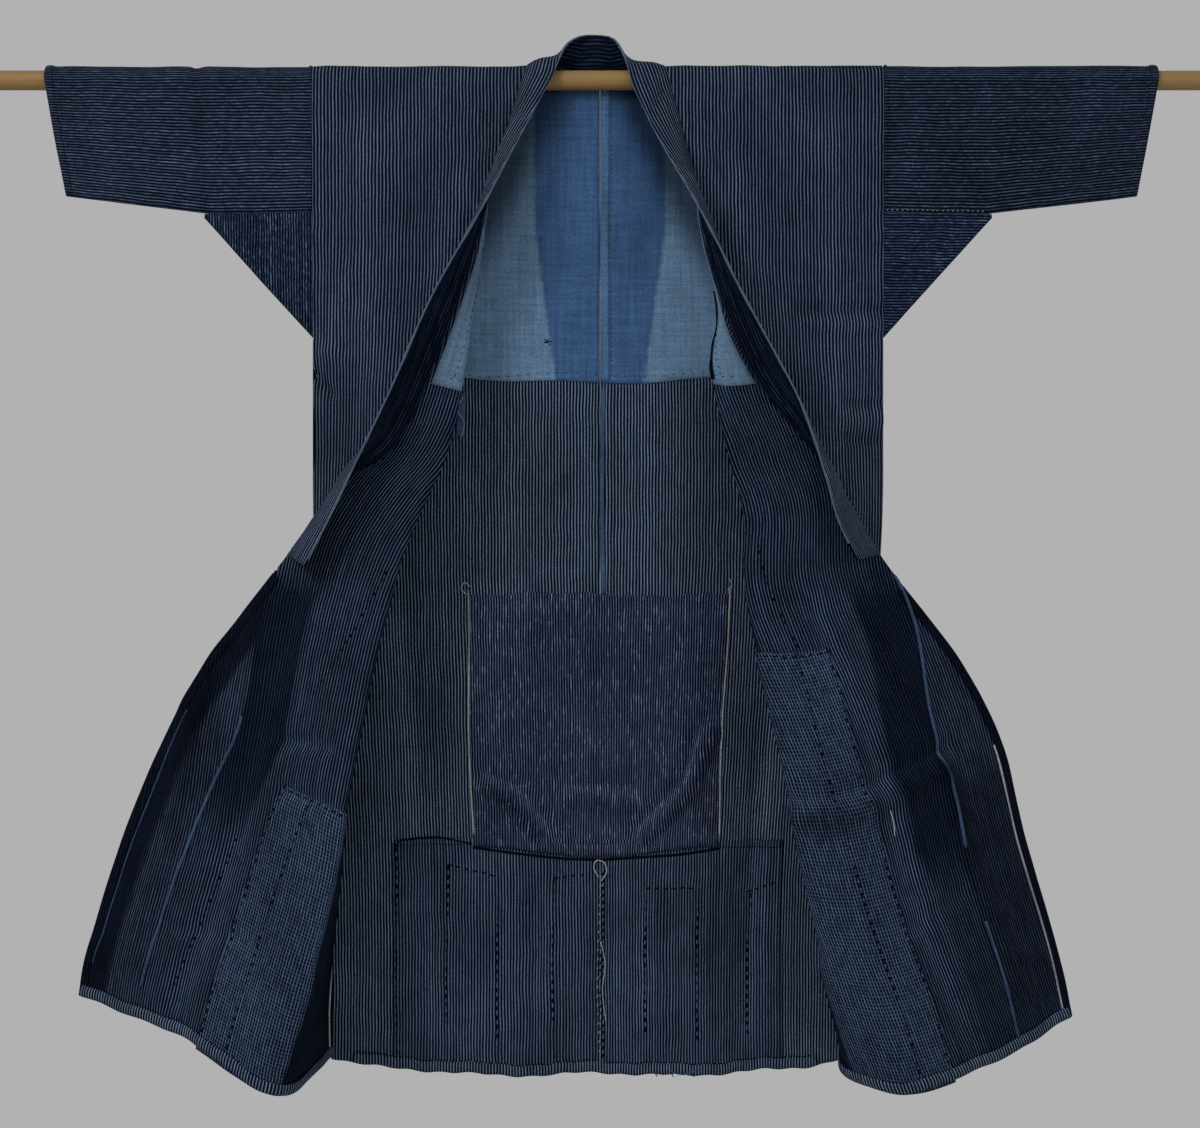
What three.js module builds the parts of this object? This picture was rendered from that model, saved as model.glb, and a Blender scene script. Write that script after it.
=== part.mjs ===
import * as THREE from "three";

// A patched cotton work coat, hung by its sleeves and shoulders over a round wooden rod, with
// both fronts turned back. Millimetres, +Z up, the open front faces -Y, and the origin is the
// middle of the rod's axis. Each panel is a wall of cloth around its middle surface.

// ---- Driving dimensions ----
const CLOTH = 2;
const LINING = 1;
const COLLAR = 3;
const GAP = 0.3;
const LAYER_GAP = 0.45;
const ROD_RADIUS = 10;
const ROD_LENGTH = 1320;
const WRAP_RADIUS = 13.6;
const QUARTER_TURN = (WRAP_RADIUS * Math.PI) / 2;
const SEAM_HALF = (CLOTH + GAP) / 2;
const SHOULDER_HALF_GAP = 0.45;
const SIDE_LENGTH = 998;
const BACK_LENGTH = 1018;
const HEM_LIFT = 20;
const NECK_DEPTH = 24;
const COLLAR_WIDTH = 52;
const COLLAR_ROLL = 6.5;
const COLLAR_STANDOFF = 3.5;
const COLLAR_END_DROP = 484;
const STRIP_WIDTH = 78;
const STRIP_TOP_WIDTH = 4;
const ARMHOLE_DROP = 264;
const SLEEVE_DROP = 136;
const CUFF_DROP = 118;
const CUFF_SLANT = 20;
const GUSSET_REACH = 114;
const YOKE_DROP = 310;
const LINING_SIDE_INSET = 26;
const LINING_COLLAR_INSET = 5;
const LINING_CENTRE_INSET = 0.3;
const LINING_TOP_TRIM = 1.5;
const BACK_WAVE = 7;
const BACK_WAVE_LENGTH = 190;
const WAVE_START = 420;
const NARROWING_START = 400;
const LOWER_REACH = 500;
const STRIP_START = 0.52;
const STRIP_WIDENING = 0.21;
const NECK_ROW_DIP = 10;
const SHORTEST_STATION = 0.02;
const GUSSET_POINT_CUT = 10;
const GUSSET_TURN = 1.7;
const GUSSET_BELLY = 0.6;

// Each front turns back on itself. A rail is a line down the cloth, and its points are
// [outward from the centre, forward of the rod, below the rod]: "fold" is where the front turns
// back, "edge" is the collar seam and then the free edge, "collar" is the collar's free edge.
const LEFT = {
  sign: -1,
  shoulder: 292,
  narrowing: 18,
  neck: 74,
  cuff: 564,
  middle: 0.5,
  bulge: 10,
  dip: -15,
  fold: [
    [110, WRAP_RADIUS, 0], [114, 24, 122], [136, 56, 314], [150, 68, 380], [194, 88, 490],
    [240, 114, 715], [262, 120, 834], [318, 122, 1012],
  ],
  edge: [
    [78, WRAP_RADIUS, 0], [106, 22, 96], [142, 50, 228], [207, 66, 380], [247, 66, 405], [307, 66, 480],
    [396, 42, 594], [453, 28, 696], [519, 20, 883], [528, 18, 934],
  ],
  collar: [
    [49, 22, 0], [98, 64, 101], [118, 82, 143], [167, 92, 233], [201, 102, 312],
    [242, 114, 403], [257, 114, 435], [288, 110, 495],
  ],
  patchColumns: [5, 11],
  patchRow: 0.73,
};
const RIGHT = {
  sign: 1,
  shoulder: 288,
  narrowing: 35,
  neck: 65,
  cuff: 567,
  middle: 0.25,
  bulge: 45,
  dip: 22,
  fold: [
    [98, WRAP_RADIUS, 0], [101, 25, 140], [118, 44, 238], [110, 56, 290], [128, 76, 388], [140, 88, 444],
    [141, 96, 518], [183, 114, 713], [205, 112, 837], [232, 106, 941], [246, 95, 1000],
  ],
  edge: [
    [70, WRAP_RADIUS, 0], [93, 22, 94], [122, 50, 229], [159, 60, 314], [219, 66, 389], [247, 66, 429],
    [279, 66, 485], [361, 44, 591], [406, 30, 675], [429, 26, 771], [463, 20, 883], [480, 16, 956],
  ],
  collar: [
    [33, 22, 8], [60, 46, 68], [99, 82, 143], [133, 90, 213], [160, 96, 263], [197, 106, 337],
    [216, 112, 393], [231, 114, 447], [251, 110, 489],
  ],
  patchColumns: [5, 10],
  patchRow: 0.58,
};
// The collar's free edge behind the neck, from the left front's to the right front's.
const NAPE_EDGE = [
  [-49, -22, 0], [-41, -10, 21], [-31, 6, 40], [-18, 14, 48], [0, 18, 49], [13, 14, 46],
  [25, -4, 24], [33, -22, -8],
];

// ---- How finely the cloth is faceted ----
const WRAP_STEPS = 3;
const FRONT_ROWS = [
  0, 0.05, 0.1, 0.14, 0.18, 0.22, 0.26, 0.31, 0.36, 0.41, 0.46, 0.5, 0.54, 0.58, 0.62, 0.67,
  0.73, 0.8, 0.87, 0.94, 1,
];
const YOKE_ROW = 0.31;
const STRIP_TOP_ROW = 0.54;
const FRONT_COLUMNS = 14;
const STRIP_COLUMNS = 3;
const SECTION_STEPS = 60;
const SOFTEN_PASSES = 3;
const COLLAR_COLUMNS = 3;
const SLEEVE_COLUMNS = 6;
const SLEEVE_SIDE_STEPS = 3;
const GUSSET_COLUMNS = 4;
const ROD_SIDES = 24;
const RAIL_DIVISIONS = 400;
const SEARCH_STEPS = 30;
const CENTRE_PATCH_DROP = 526;
const LOWER_PATCH_DROP = 778;
const CENTRE_PATCH_COLUMN = 4;
const LOWER_PATCH_COLUMN = 2;
const FRONT_LINING_COLUMN = 2;
const BACK_DROPS = [
  40, 100, 170, 230, ARMHOLE_DROP, YOKE_DROP, 365, 440, CENTRE_PATCH_DROP, 610, 695,
  LOWER_PATCH_DROP, 860, 940,
];
const BACK_COLUMNS_LEFT = [292, 255, 219, 180, 140, 107, 74, 71, 62, 40, 0];
const BACK_COLUMNS_RIGHT = [0, 35, 54, 62, 65, 100, 136, 170, 204, 250, 288];
const NECK_COLUMNS_LEFT = [71, 62, 40];
const NECK_COLUMNS_RIGHT = [0, 35, 54, 62];

// ---- Materials ----
const INDIGO = "#2b3441";
const SLEEVE_INDIGO = "#1e2633";
const FADED_BLUE = "#3f5d80";
const LIGHT_BLUE = "#4a6684";
const PATCH_INDIGO = "#293243";
const CHECK_INDIGO = "#252e3d";
const BARE_WOOD = "#8e7b57";

function smooth(value) {
  return THREE.MathUtils.smoothstep(value, 0, 1);
}

function rail(points, sign) {
  const placed = points.map(([out, forward, drop]) => new THREE.Vector3(sign * out, -forward, -drop));
  const curve = new THREE.CatmullRomCurve3(placed);
  curve.arcLengthDivisions = RAIL_DIVISIONS;
  return curve;
}

function prepareHalf(half) {
  return {
    ...half,
    foldRail: rail(half.fold, half.sign),
    edgeRail: rail(half.edge, half.sign),
    collarRail: rail(half.collar, half.sign),
  };
}

// ---- Walls ----
function normalAt(points, row, column) {
  const rows = points.length - 1;
  const columns = points[0].length - 1;
  const down = points[Math.min(row + 1, rows)][column].clone();
  down.sub(points[Math.max(row - 1, 0)][column]);
  const across = points[row][Math.min(column + 1, columns)].clone();
  across.sub(points[row][Math.max(column - 1, 0)]);
  return across.cross(down).normalize();
}

function surfaceFrom(points) {
  const normals = points.map((line, row) => line.map((point, column) => normalAt(points, row, column)));
  return { points, normals };
}

function portion(surface, firstRow, lastRow, firstColumn, lastColumn) {
  const columns = (line) => line.slice(firstColumn, lastColumn + 1);
  const cut = (lines) => lines.slice(firstRow, lastRow + 1).map(columns);
  return { points: cut(surface.points), normals: cut(surface.normals) };
}

// Moves the first and last columns inwards along their own rows.
function inset(surface, first, last) {
  const points = surface.points.map((line) => {
    const moved = line.map((point) => point.clone());
    const end = moved.length - 1;
    moved[0].lerp(line[1], first / line[0].distanceTo(line[1]));
    moved[end].lerp(line[end - 1], last / line[end].distanceTo(line[end - 1]));
    return moved;
  });
  return { points, normals: surface.normals };
}

// Brings the top row down along the cloth.
function trimTop(surface, distance) {
  const points = surface.points.map((line) => line.map((point) => point.clone()));
  for (const [column, point] of points[0].entries()) {
    const below = points[1][column];
    point.lerp(below, distance / point.distanceTo(below));
  }
  return { points, normals: surface.normals };
}

// A closed wall between two distances from a surface, measured along its normals.
function wall(surface, from, to) {
  const rows = surface.points.length;
  const columns = surface.points[0].length;
  const positions = [];
  for (const distance of [from, to]) {
    for (let row = 0; row < rows; row += 1) {
      for (let column = 0; column < columns; column += 1) {
        const point = surface.points[row][column].clone();
        point.addScaledVector(surface.normals[row][column], distance);
        positions.push(point.x, point.y, point.z);
      }
    }
  }
  const layer = rows * columns;
  const at = (side, row, column) => side * layer + row * columns + column;
  const faces = [];
  const quad = (a, b, c, d) => faces.push(a, b, c, a, c, d);
  for (let row = 0; row < rows - 1; row += 1) {
    for (let column = 0; column < columns - 1; column += 1) {
      const corners = [[row, column], [row + 1, column], [row + 1, column + 1], [row, column + 1]];
      const lower = corners.map(([r, c]) => at(0, r, c));
      const upper = corners.map(([r, c]) => at(1, r, c));
      quad(lower[0], lower[1], lower[2], lower[3]);
      faces.push(upper[0], upper[2], upper[1], upper[0], upper[3], upper[2]);
    }
  }
  for (let row = 0; row < rows - 1; row += 1) {
    quad(at(0, row, 0), at(1, row, 0), at(1, row + 1, 0), at(0, row + 1, 0));
    const end = columns - 1;
    quad(at(0, row, end), at(0, row + 1, end), at(1, row + 1, end), at(1, row, end));
  }
  for (let column = 0; column < columns - 1; column += 1) {
    quad(at(0, 0, column), at(0, 0, column + 1), at(1, 0, column + 1), at(1, 0, column));
    const end = rows - 1;
    quad(at(0, end, column), at(1, end, column), at(1, end, column + 1), at(0, end, column + 1));
  }
  const geometry = new THREE.BufferGeometry();
  geometry.setAttribute("position", new THREE.Float32BufferAttribute(positions, 3));
  geometry.setIndex(volumeOf(positions, faces) < 0 ? faces.reverse() : faces);
  geometry.computeVertexNormals();
  return geometry;
}

function volumeOf(positions, faces) {
  const corner = (index) => new THREE.Vector3().fromArray(positions, 3 * index);
  let volume = 0;
  for (let index = 0; index < faces.length; index += 3) {
    const [a, b, c] = [corner(faces[index]), corner(faces[index + 1]), corner(faces[index + 2])];
    volume += a.dot(b.cross(c)) / 6;
  }
  return volume;
}

function addPiece(group, name, geometry, colour, roughness = 0.95) {
  const material = new THREE.MeshStandardMaterial({ color: colour, roughness, metalness: 0 });
  const mesh = new THREE.Mesh(geometry, material);
  mesh.name = name;
  group.add(mesh);
}

// ---- Side seams: the fronts and the back stand apart at the armhole and lap below it ----
function sideOut(half, drop) {
  return half.shoulder - half.narrowing * smooth((drop - NARROWING_START) / LOWER_REACH);
}

function sideHalfGap(drop) {
  const share = Math.min(Math.max(drop, 0) / ARMHOLE_DROP, 1);
  return SEAM_HALF + (WRAP_RADIUS - SEAM_HALF) * (1 - share * share);
}

// ---- Fronts ----
function frontSection(half, share) {
  const drop = share * SIDE_LENGTH;
  const side = new THREE.Vector3(half.sign * sideOut(half, drop), -sideHalfGap(drop), -drop);
  const fold = half.foldRail.getPointAt(share);
  const edge = half.edgeRail.getPointAt(share);
  const middle = fold.clone().lerp(edge, half.middle);
  middle.y -= half.bulge * share * share;
  middle.z -= half.dip * share * share;
  let points = new THREE.CatmullRomCurve3([side, fold, middle, edge]).getPoints(SECTION_STEPS);
  for (let pass = 0; pass < SOFTEN_PASSES; pass += 1) {
    points = points.map((point, index) => {
      if (index === 0 || index === points.length - 1) {
        return point;
      }
      return points[index - 1].clone().add(points[index + 1]).multiplyScalar(0.5);
    });
  }
  return new THREE.CatmullRomCurve3(points);
}

// The front's turn over the rod, from the shoulder line to the level of the axis.
function shoulderSection(half, step) {
  const turned = SHOULDER_HALF_GAP + ((QUARTER_TURN - SHOULDER_HALF_GAP) * step) / WRAP_STEPS;
  const angle = turned / WRAP_RADIUS;
  const forward = WRAP_RADIUS * Math.sin(angle);
  const up = WRAP_RADIUS * Math.cos(angle);
  const neckOut = half.neck + ((half.edge[0][0] - half.neck) * step) / WRAP_STEPS;
  const side = new THREE.Vector3(half.sign * half.shoulder, -forward, up);
  const neck = new THREE.Vector3(half.sign * neckOut, -forward, up);
  return new THREE.LineCurve3(side, neck);
}

function stripWidth(share) {
  return Math.max(STRIP_WIDTH * smooth((share - STRIP_START) / STRIP_WIDENING), STRIP_TOP_WIDTH);
}

function frontSections(half) {
  const sections = [];
  for (let step = 0; step < WRAP_STEPS; step += 1) {
    sections.push({ share: 0, curve: shoulderSection(half, step) });
  }
  for (const share of FRONT_ROWS) {
    sections.push({ share, curve: frontSection(half, share) });
  }
  return sections;
}

function frontSurface(half) {
  const points = frontSections(half).map(({ share, curve }) => {
    const length = curve.getLength();
    const strip = share < STRIP_TOP_ROW ? 0 : stripWidth(share) + GAP;
    const line = [];
    for (let column = 0; column <= FRONT_COLUMNS; column += 1) {
      line.push(curve.getPointAt(((column / FRONT_COLUMNS) * (length - strip)) / length));
    }
    return line;
  });
  return surfaceFrom(points);
}

function stripSurface(half) {
  const shares = FRONT_ROWS.filter((share) => share >= STRIP_TOP_ROW);
  const points = shares.map((share) => {
    const curve = frontSection(half, share);
    const length = curve.getLength();
    const start = length - stripWidth(share);
    const line = [];
    for (let column = 0; column <= STRIP_COLUMNS; column += 1) {
      const along = start + (column / STRIP_COLUMNS) * stripWidth(share);
      line.push(curve.getPointAt(Math.min(along / length, 1)));
    }
    return line;
  });
  return surfaceFrom(points);
}

// ---- Back ----
function neckCut(half, out) {
  return out < half.neck ? NECK_DEPTH * Math.sqrt(1 - (out / half.neck) ** 2) : 0;
}

function backPoint(half, out, distance) {
  if (distance < QUARTER_TURN) {
    const angle = distance / WRAP_RADIUS;
    const up = WRAP_RADIUS * Math.cos(angle);
    return new THREE.Vector3(half.sign * out, WRAP_RADIUS * Math.sin(angle), up);
  }
  const drop = distance - QUARTER_TURN;
  const share = out / half.shoulder;
  const width = sideOut(half, drop) / half.shoulder;
  const hanging = WRAP_RADIUS + (sideHalfGap(drop) - WRAP_RADIUS) * share ** 3;
  const phase = (2 * Math.PI * half.sign * out) / BACK_WAVE_LENGTH;
  const wave = BACK_WAVE * smooth((drop - WAVE_START) / LOWER_REACH) * Math.cos(phase) * (1 - share ** 4);
  return new THREE.Vector3(half.sign * out * width, hanging + wave, -drop);
}

function backSurface(half, columns) {
  const points = [];
  for (let row = 0; row <= WRAP_STEPS + BACK_DROPS.length + 1; row += 1) {
    points.push(columns.map((out) => {
      const start = Math.max(neckCut(half, out), SHOULDER_HALF_GAP);
      if (row <= WRAP_STEPS) {
        const end = QUARTER_TURN + (NECK_ROW_DIP * start) / NECK_DEPTH;
        return backPoint(half, out, start + ((end - start) * row) / WRAP_STEPS);
      }
      const hem = BACK_LENGTH - HEM_LIFT * (out / half.shoulder) ** 4;
      const drop = BACK_DROPS[row - WRAP_STEPS - 1] ?? hem;
      return backPoint(half, out, QUARTER_TURN + drop);
    }));
  }
  return surfaceFrom(points);
}

function backRow(drop) {
  return WRAP_STEPS + 1 + BACK_DROPS.indexOf(drop);
}

// ---- Collar: a folded band from one front, round the neck, to the other ----
function railShareAtDrop(curve, drop) {
  let low = 0;
  let high = 1;
  for (let step = 0; step < SEARCH_STEPS; step += 1) {
    const middle = (low + high) / 2;
    if (-curve.getPointAt(middle).z < drop) {
      low = middle;
    } else {
      high = middle;
    }
  }
  return low;
}

function collarFrontStations(half) {
  const end = railShareAtDrop(half.edgeRail, COLLAR_END_DROP);
  const shares = FRONT_ROWS.filter((share) => share < end - SHORTEST_STATION);
  shares.push(end);
  return shares.map((share) => ({
    seam: half.edgeRail.getPointAt(share),
    edge: half.collarRail.getPointAt(share / end),
  }));
}

function neckSeam(left, right) {
  const seam = [];
  const overRod = (half, step) => shoulderSection(half, step).getPoint(1);
  for (let step = WRAP_STEPS - 1; step >= 0; step -= 1) {
    seam.push(overRod(left, step));
  }
  for (const out of NECK_COLUMNS_LEFT) {
    seam.push(backPoint(left, out, neckCut(left, out)));
  }
  for (const out of NECK_COLUMNS_RIGHT) {
    seam.push(backPoint(right, out, neckCut(right, out)));
  }
  for (let step = 0; step < WRAP_STEPS; step += 1) {
    seam.push(overRod(right, step));
  }
  return seam;
}

function napeStations(left, right) {
  const start = left.edgeRail.getPointAt(0);
  const end = right.edgeRail.getPointAt(0);
  const seam = neckSeam(left, right);
  const route = [start, ...seam, end];
  const lengths = [0];
  for (let index = 1; index < route.length; index += 1) {
    lengths.push(lengths[index - 1] + route[index].distanceTo(route[index - 1]));
  }
  const edge = new THREE.CatmullRomCurve3(NAPE_EDGE.map((point) => new THREE.Vector3(...point)));
  const total = lengths[lengths.length - 1];
  return seam.map((point, index) => ({ seam: point, edge: edge.getPointAt(lengths[index + 1] / total) }));
}

// Where the band's two edges are nearer than its width, it rolls towards its outer side.
function collarSurface(left, right) {
  const stations = [
    ...collarFrontStations(left).reverse(),
    ...napeStations(left, right),
    ...collarFrontStations(right),
  ];
  const points = stations.map(({ seam, edge }, index) => {
    const before = stations[Math.max(index - 1, 0)].seam;
    const after = stations[Math.min(index + 1, stations.length - 1)].seam;
    const across = edge.clone().sub(seam);
    const chord = across.length();
    const outer = across.clone().cross(after.clone().sub(before)).normalize();
    const slack = Math.sqrt((3 * chord * Math.max(COLLAR_WIDTH - chord, 0)) / 8);
    const roll = Math.min(slack, COLLAR_ROLL);
    const crest = seam.clone().lerp(edge, 0.5).addScaledVector(outer, 2 * roll);
    const section = new THREE.QuadraticBezierCurve3(seam, crest, edge);
    const line = [];
    for (let column = 0; column <= COLLAR_COLUMNS; column += 1) {
      const start = COLLAR_STANDOFF / section.getLength();
      line.push(section.getPointAt(start + (1 - start) * (column / COLLAR_COLUMNS)));
    }
    return line;
  });
  return surfaceFrom(points);
}

// ---- Sleeves: one cloth folded over the rod, closed below, with a gusset under the arm ----
function gussetShare(half, out) {
  return Math.min((out - half.shoulder) / GUSSET_REACH, 1);
}

function underarmHalfGap(half, out) {
  const open = sideHalfGap(SLEEVE_DROP);
  return SEAM_HALF + (open - SEAM_HALF) * (1 - smooth(gussetShare(half, out)));
}

function sleeveDrop(half, out) {
  const start = half.shoulder + GUSSET_REACH;
  const share = Math.max((out - start) / (half.cuff - start), 0);
  return SLEEVE_DROP + (CUFF_DROP - SLEEVE_DROP) * share;
}

function sleevePoint(half, out, side, share) {
  const bottom = underarmHalfGap(half, out);
  const gap = bottom + (WRAP_RADIUS - bottom) * (1 - share * share);
  const slant = (CUFF_SLANT * share * (out - half.shoulder)) / (half.cuff - half.shoulder);
  return new THREE.Vector3(half.sign * (out - slant), side * gap, -share * sleeveDrop(half, out));
}

function sleeveSurface(half) {
  const first = half.shoulder + 2 * GAP;
  const outs = [first, first + GUSSET_REACH / 2, first + GUSSET_REACH];
  for (let column = 3; column <= SLEEVE_COLUMNS; column += 1) {
    outs.push(outs[2] + ((half.cuff - outs[2]) * (column - 2)) / (SLEEVE_COLUMNS - 2));
  }
  const points = outs.map((out) => {
    const line = [];
    for (let step = SLEEVE_SIDE_STEPS; step > 0; step -= 1) {
      line.push(sleevePoint(half, out, -1, step / SLEEVE_SIDE_STEPS));
    }
    for (let step = 0; step <= 2 * WRAP_STEPS; step += 1) {
      const angle = (Math.PI * step) / (2 * WRAP_STEPS);
      const back = -WRAP_RADIUS * Math.cos(angle);
      line.push(new THREE.Vector3(half.sign * out, back, WRAP_RADIUS * Math.sin(angle)));
    }
    for (let step = 1; step <= SLEEVE_SIDE_STEPS; step += 1) {
      line.push(sleevePoint(half, out, 1, step / SLEEVE_SIDE_STEPS));
    }
    return line;
  });
  return surfaceFrom(points);
}

function gussetSurface(half) {
  const first = half.shoulder + 2 * GAP;
  const points = [];
  for (let column = 0; column <= GUSSET_COLUMNS; column += 1) {
    const out = first + ((GUSSET_REACH - GUSSET_POINT_CUT) * column) / GUSSET_COLUMNS;
    const top = SLEEVE_DROP + 2 * GAP;
    const bottom = ARMHOLE_DROP + (top - ARMHOLE_DROP) * gussetShare(half, out);
    const wide = underarmHalfGap(half, out);
    const front = [
      [wide, top],
      [GUSSET_TURN + (wide - GUSSET_TURN) * GUSSET_BELLY, (top + bottom - GUSSET_TURN) / 2],
      [GUSSET_TURN, bottom - GUSSET_TURN],
    ];
    const place = ([gap, drop], side) => new THREE.Vector3(half.sign * out, side * gap, -drop);
    points.push([
      ...front.map((pair) => place(pair, -1)),
      place([0, bottom], 1),
      ...front.reverse().map((pair) => place(pair, 1)),
    ]);
  }
  return surfaceFrom(points);
}

function rodGeometry() {
  const geometry = new THREE.CylinderGeometry(ROD_RADIUS, ROD_RADIUS, ROD_LENGTH, ROD_SIDES);
  geometry.rotateZ(Math.PI / 2);
  return geometry;
}

// ---- The whole coat ----
function frontPieces(group, half, name) {
  const front = frontSurface(half);
  addPiece(group, `front_${name}`, wall(front, -CLOTH / 2, CLOTH / 2), INDIGO);
  addPiece(group, `front_strip_${name}`, wall(stripSurface(half), -CLOTH / 2, CLOTH / 2), INDIGO);
  const inner = -half.sign;
  const near = CLOTH / 2 + LAYER_GAP;
  const far = near + LINING;
  const yokeRow = WRAP_STEPS + FRONT_ROWS.indexOf(YOKE_ROW);
  const yoke = trimTop(portion(front, 0, yokeRow, 0, FRONT_COLUMNS), LINING_TOP_TRIM);
  const lining = portion(inset(yoke, 0, LINING_COLLAR_INSET), 0, yokeRow, FRONT_LINING_COLUMN, FRONT_COLUMNS);
  addPiece(group, `front_lining_${name}`, wall(lining, inner * near, inner * far), LIGHT_BLUE);
  const patchRow = WRAP_STEPS + FRONT_ROWS.indexOf(half.patchRow);
  const lastRow = front.points.length - 1;
  const patch = portion(front, patchRow, lastRow, half.patchColumns[0], half.patchColumns[1]);
  addPiece(group, `checked_patch_${name}`, wall(patch, inner * near, inner * far), CHECK_INDIGO);
}

// Puts the centre-back edge of a half a little off the middle, to leave the seam's gap.
function offCentre(surface, sign) {
  const points = surface.points.map((line) => line.map((point) => {
    const moved = point.clone();
    moved.x += point.x === 0 ? (sign * GAP) / 2 : 0;
    return moved;
  }));
  return { points, normals: surface.normals };
}

function backPieces(group, left, right) {
  const leftBack = backSurface(left, BACK_COLUMNS_LEFT);
  const rightBack = backSurface(right, BACK_COLUMNS_RIGHT);
  const near = -(CLOTH / 2 + LAYER_GAP);
  const far = near - LINING;
  const end = BACK_COLUMNS_LEFT.length - 1;
  const halves = [
    [leftBack, left, "left", LINING_SIDE_INSET, LINING_CENTRE_INSET],
    [rightBack, right, "right", LINING_CENTRE_INSET, LINING_SIDE_INSET],
  ];
  for (const [back, half, name, first, last] of halves) {
    const panel = offCentre(back, half.sign);
    addPiece(group, `back_${name}`, wall(panel, -CLOTH / 2, CLOTH / 2), INDIGO);
    const yoke = trimTop(portion(panel, 0, backRow(YOKE_DROP), 0, end), LINING_TOP_TRIM);
    addPiece(group, `back_lining_${name}`, wall(inset(yoke, first, last), near, far), FADED_BLUE);
  }
  const whole = surfaceFrom(leftBack.points.map((line, row) => [...line, ...rightBack.points[row].slice(1)]));
  const patches = [
    ["centre_patch", CENTRE_PATCH_DROP, LOWER_PATCH_DROP, CENTRE_PATCH_COLUMN],
    ["lower_back_patch", LOWER_PATCH_DROP, null, LOWER_PATCH_COLUMN],
  ];
  for (const [name, top, bottom, column] of patches) {
    const lastRow = bottom === null ? whole.points.length - 1 : backRow(bottom);
    const cut = portion(whole, backRow(top), lastRow, column, 2 * end - column);
    const gap = bottom === null ? 2 * GAP : 0;
    addPiece(group, name, wall(trimTop(cut, gap), near, far), PATCH_INDIGO);
  }
}

function buildCoat() {
  const coat = new THREE.Group();
  const left = prepareHalf(LEFT);
  const right = prepareHalf(RIGHT);
  addPiece(coat, "rod", rodGeometry(), BARE_WOOD, 0.6);
  backPieces(coat, left, right);
  for (const [half, name] of [[left, "left"], [right, "right"]]) {
    frontPieces(coat, half, name);
    addPiece(coat, `sleeve_${name}`, wall(sleeveSurface(half), -CLOTH / 2, CLOTH / 2), SLEEVE_INDIGO);
    addPiece(coat, `gusset_${name}`, wall(gussetSurface(half), -CLOTH / 2, CLOTH / 2), SLEEVE_INDIGO);
  }
  addPiece(coat, "collar", wall(collarSurface(left, right), -COLLAR / 2, COLLAR / 2), INDIGO);
  return coat;
}

export default buildCoat();
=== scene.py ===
import math

import bmesh
import bpy
import numpy as np
from mathutils import Matrix, Vector, noise


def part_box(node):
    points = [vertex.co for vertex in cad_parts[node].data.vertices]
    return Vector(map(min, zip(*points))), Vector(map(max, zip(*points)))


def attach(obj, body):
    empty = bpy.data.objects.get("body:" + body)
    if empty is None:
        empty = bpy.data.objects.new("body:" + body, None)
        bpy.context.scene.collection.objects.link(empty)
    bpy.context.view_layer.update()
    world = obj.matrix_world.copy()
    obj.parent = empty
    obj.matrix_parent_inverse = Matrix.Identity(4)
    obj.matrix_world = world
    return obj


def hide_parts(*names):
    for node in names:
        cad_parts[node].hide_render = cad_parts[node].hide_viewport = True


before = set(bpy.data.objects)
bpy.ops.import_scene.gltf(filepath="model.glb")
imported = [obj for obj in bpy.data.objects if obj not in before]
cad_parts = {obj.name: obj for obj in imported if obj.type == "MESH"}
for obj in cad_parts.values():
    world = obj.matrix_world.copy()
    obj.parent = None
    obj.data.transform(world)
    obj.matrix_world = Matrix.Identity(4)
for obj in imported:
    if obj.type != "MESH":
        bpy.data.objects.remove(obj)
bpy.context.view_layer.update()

# ---- Sizes. Lengths of cloth and places on it are in millimetres, objects in metres ----
MM = 0.001
ROD_LOW, ROD_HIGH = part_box("rod")
BACK_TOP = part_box("back_left")[1].z / MM
ROD_RADIUS = (ROD_HIGH.z - ROD_LOW.z) / 2 / MM
SOLID_WALL = 2.0
WRAP_RADIUS = BACK_TOP - SOLID_WALL / 2
QUARTER_TURN = WRAP_RADIUS * math.pi / 2
SEAM_HALF = 1.15
SIDE_LENGTH = 998
BACK_LENGTH = 1018
HEM_LIFT = 20
NECK_DEPTH = 24
COLLAR_WIDTH = 52
COLLAR_ROLL = 6.5
COLLAR_END_DROP = 484
STRIP_WIDTH = 78
ARMHOLE_DROP = 264
SLEEVE_DROP = 136
CUFF_DROP = 118
CUFF_SLANT = 20
GUSSET_REACH = 114
YOKE_DROP = 310
BACK_WAVE = 7
BACK_WAVE_LENGTH = 190
NARROWING_START, NARROWING_REACH = 400, 500
WAVE_START, WAVE_REACH = 420, 500
STRIP_START, STRIP_WIDENING = 0.52, 0.21
SLEEVE_SEAM_GAP = 0.6
CLOTH = 1.7
THIN_CLOTH = 0.9
COLLAR_CLOTH = 2.6
CREASE_DEPTH = 2.0
HEM_WAVE, HEM_WAVE_REACH = 2.6, 40
RIDGE_DROPS = {"left": (688, 966), "right": (530, 800)}
SOLID_SPANS = 14
CHECKED_START = 4.95 / SOLID_SPANS
CHECKED_TOPS = {"left": 0.73, "right": 0.58}
CENTRE_PATCH = dict(left=-138, width=273, top=524, bottom=781, sag=12)
LOWER_PATCH = dict(left=-224, width=434, top=776)
FRONT_END = QUARTER_TURN + SIDE_LENGTH
STRIP_TOP = QUARTER_TURN + 0.54 * SIDE_LENGTH
LINING_END = QUARTER_TURN + 0.31 * SIDE_LENGTH
LAST_DROP = BACK_LENGTH - 8
FLOOR_LEVEL = -1.3
MIDDLE = (0, 0, -0.5)

# Lifts from the middle of a panel's cloth. A positive one is towards its outer face.
INNER = -1
ON_OUTER = CLOTH / 2
ON_INNER = INNER * (CLOTH / 2 + 0.35)
PATCH_LIFT = INNER * (CLOTH / 2 + 0.45 + THIN_CLOTH / 2)
ON_PATCH = INNER * (CLOTH / 2 + 0.5 + THIN_CLOTH)

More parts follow.
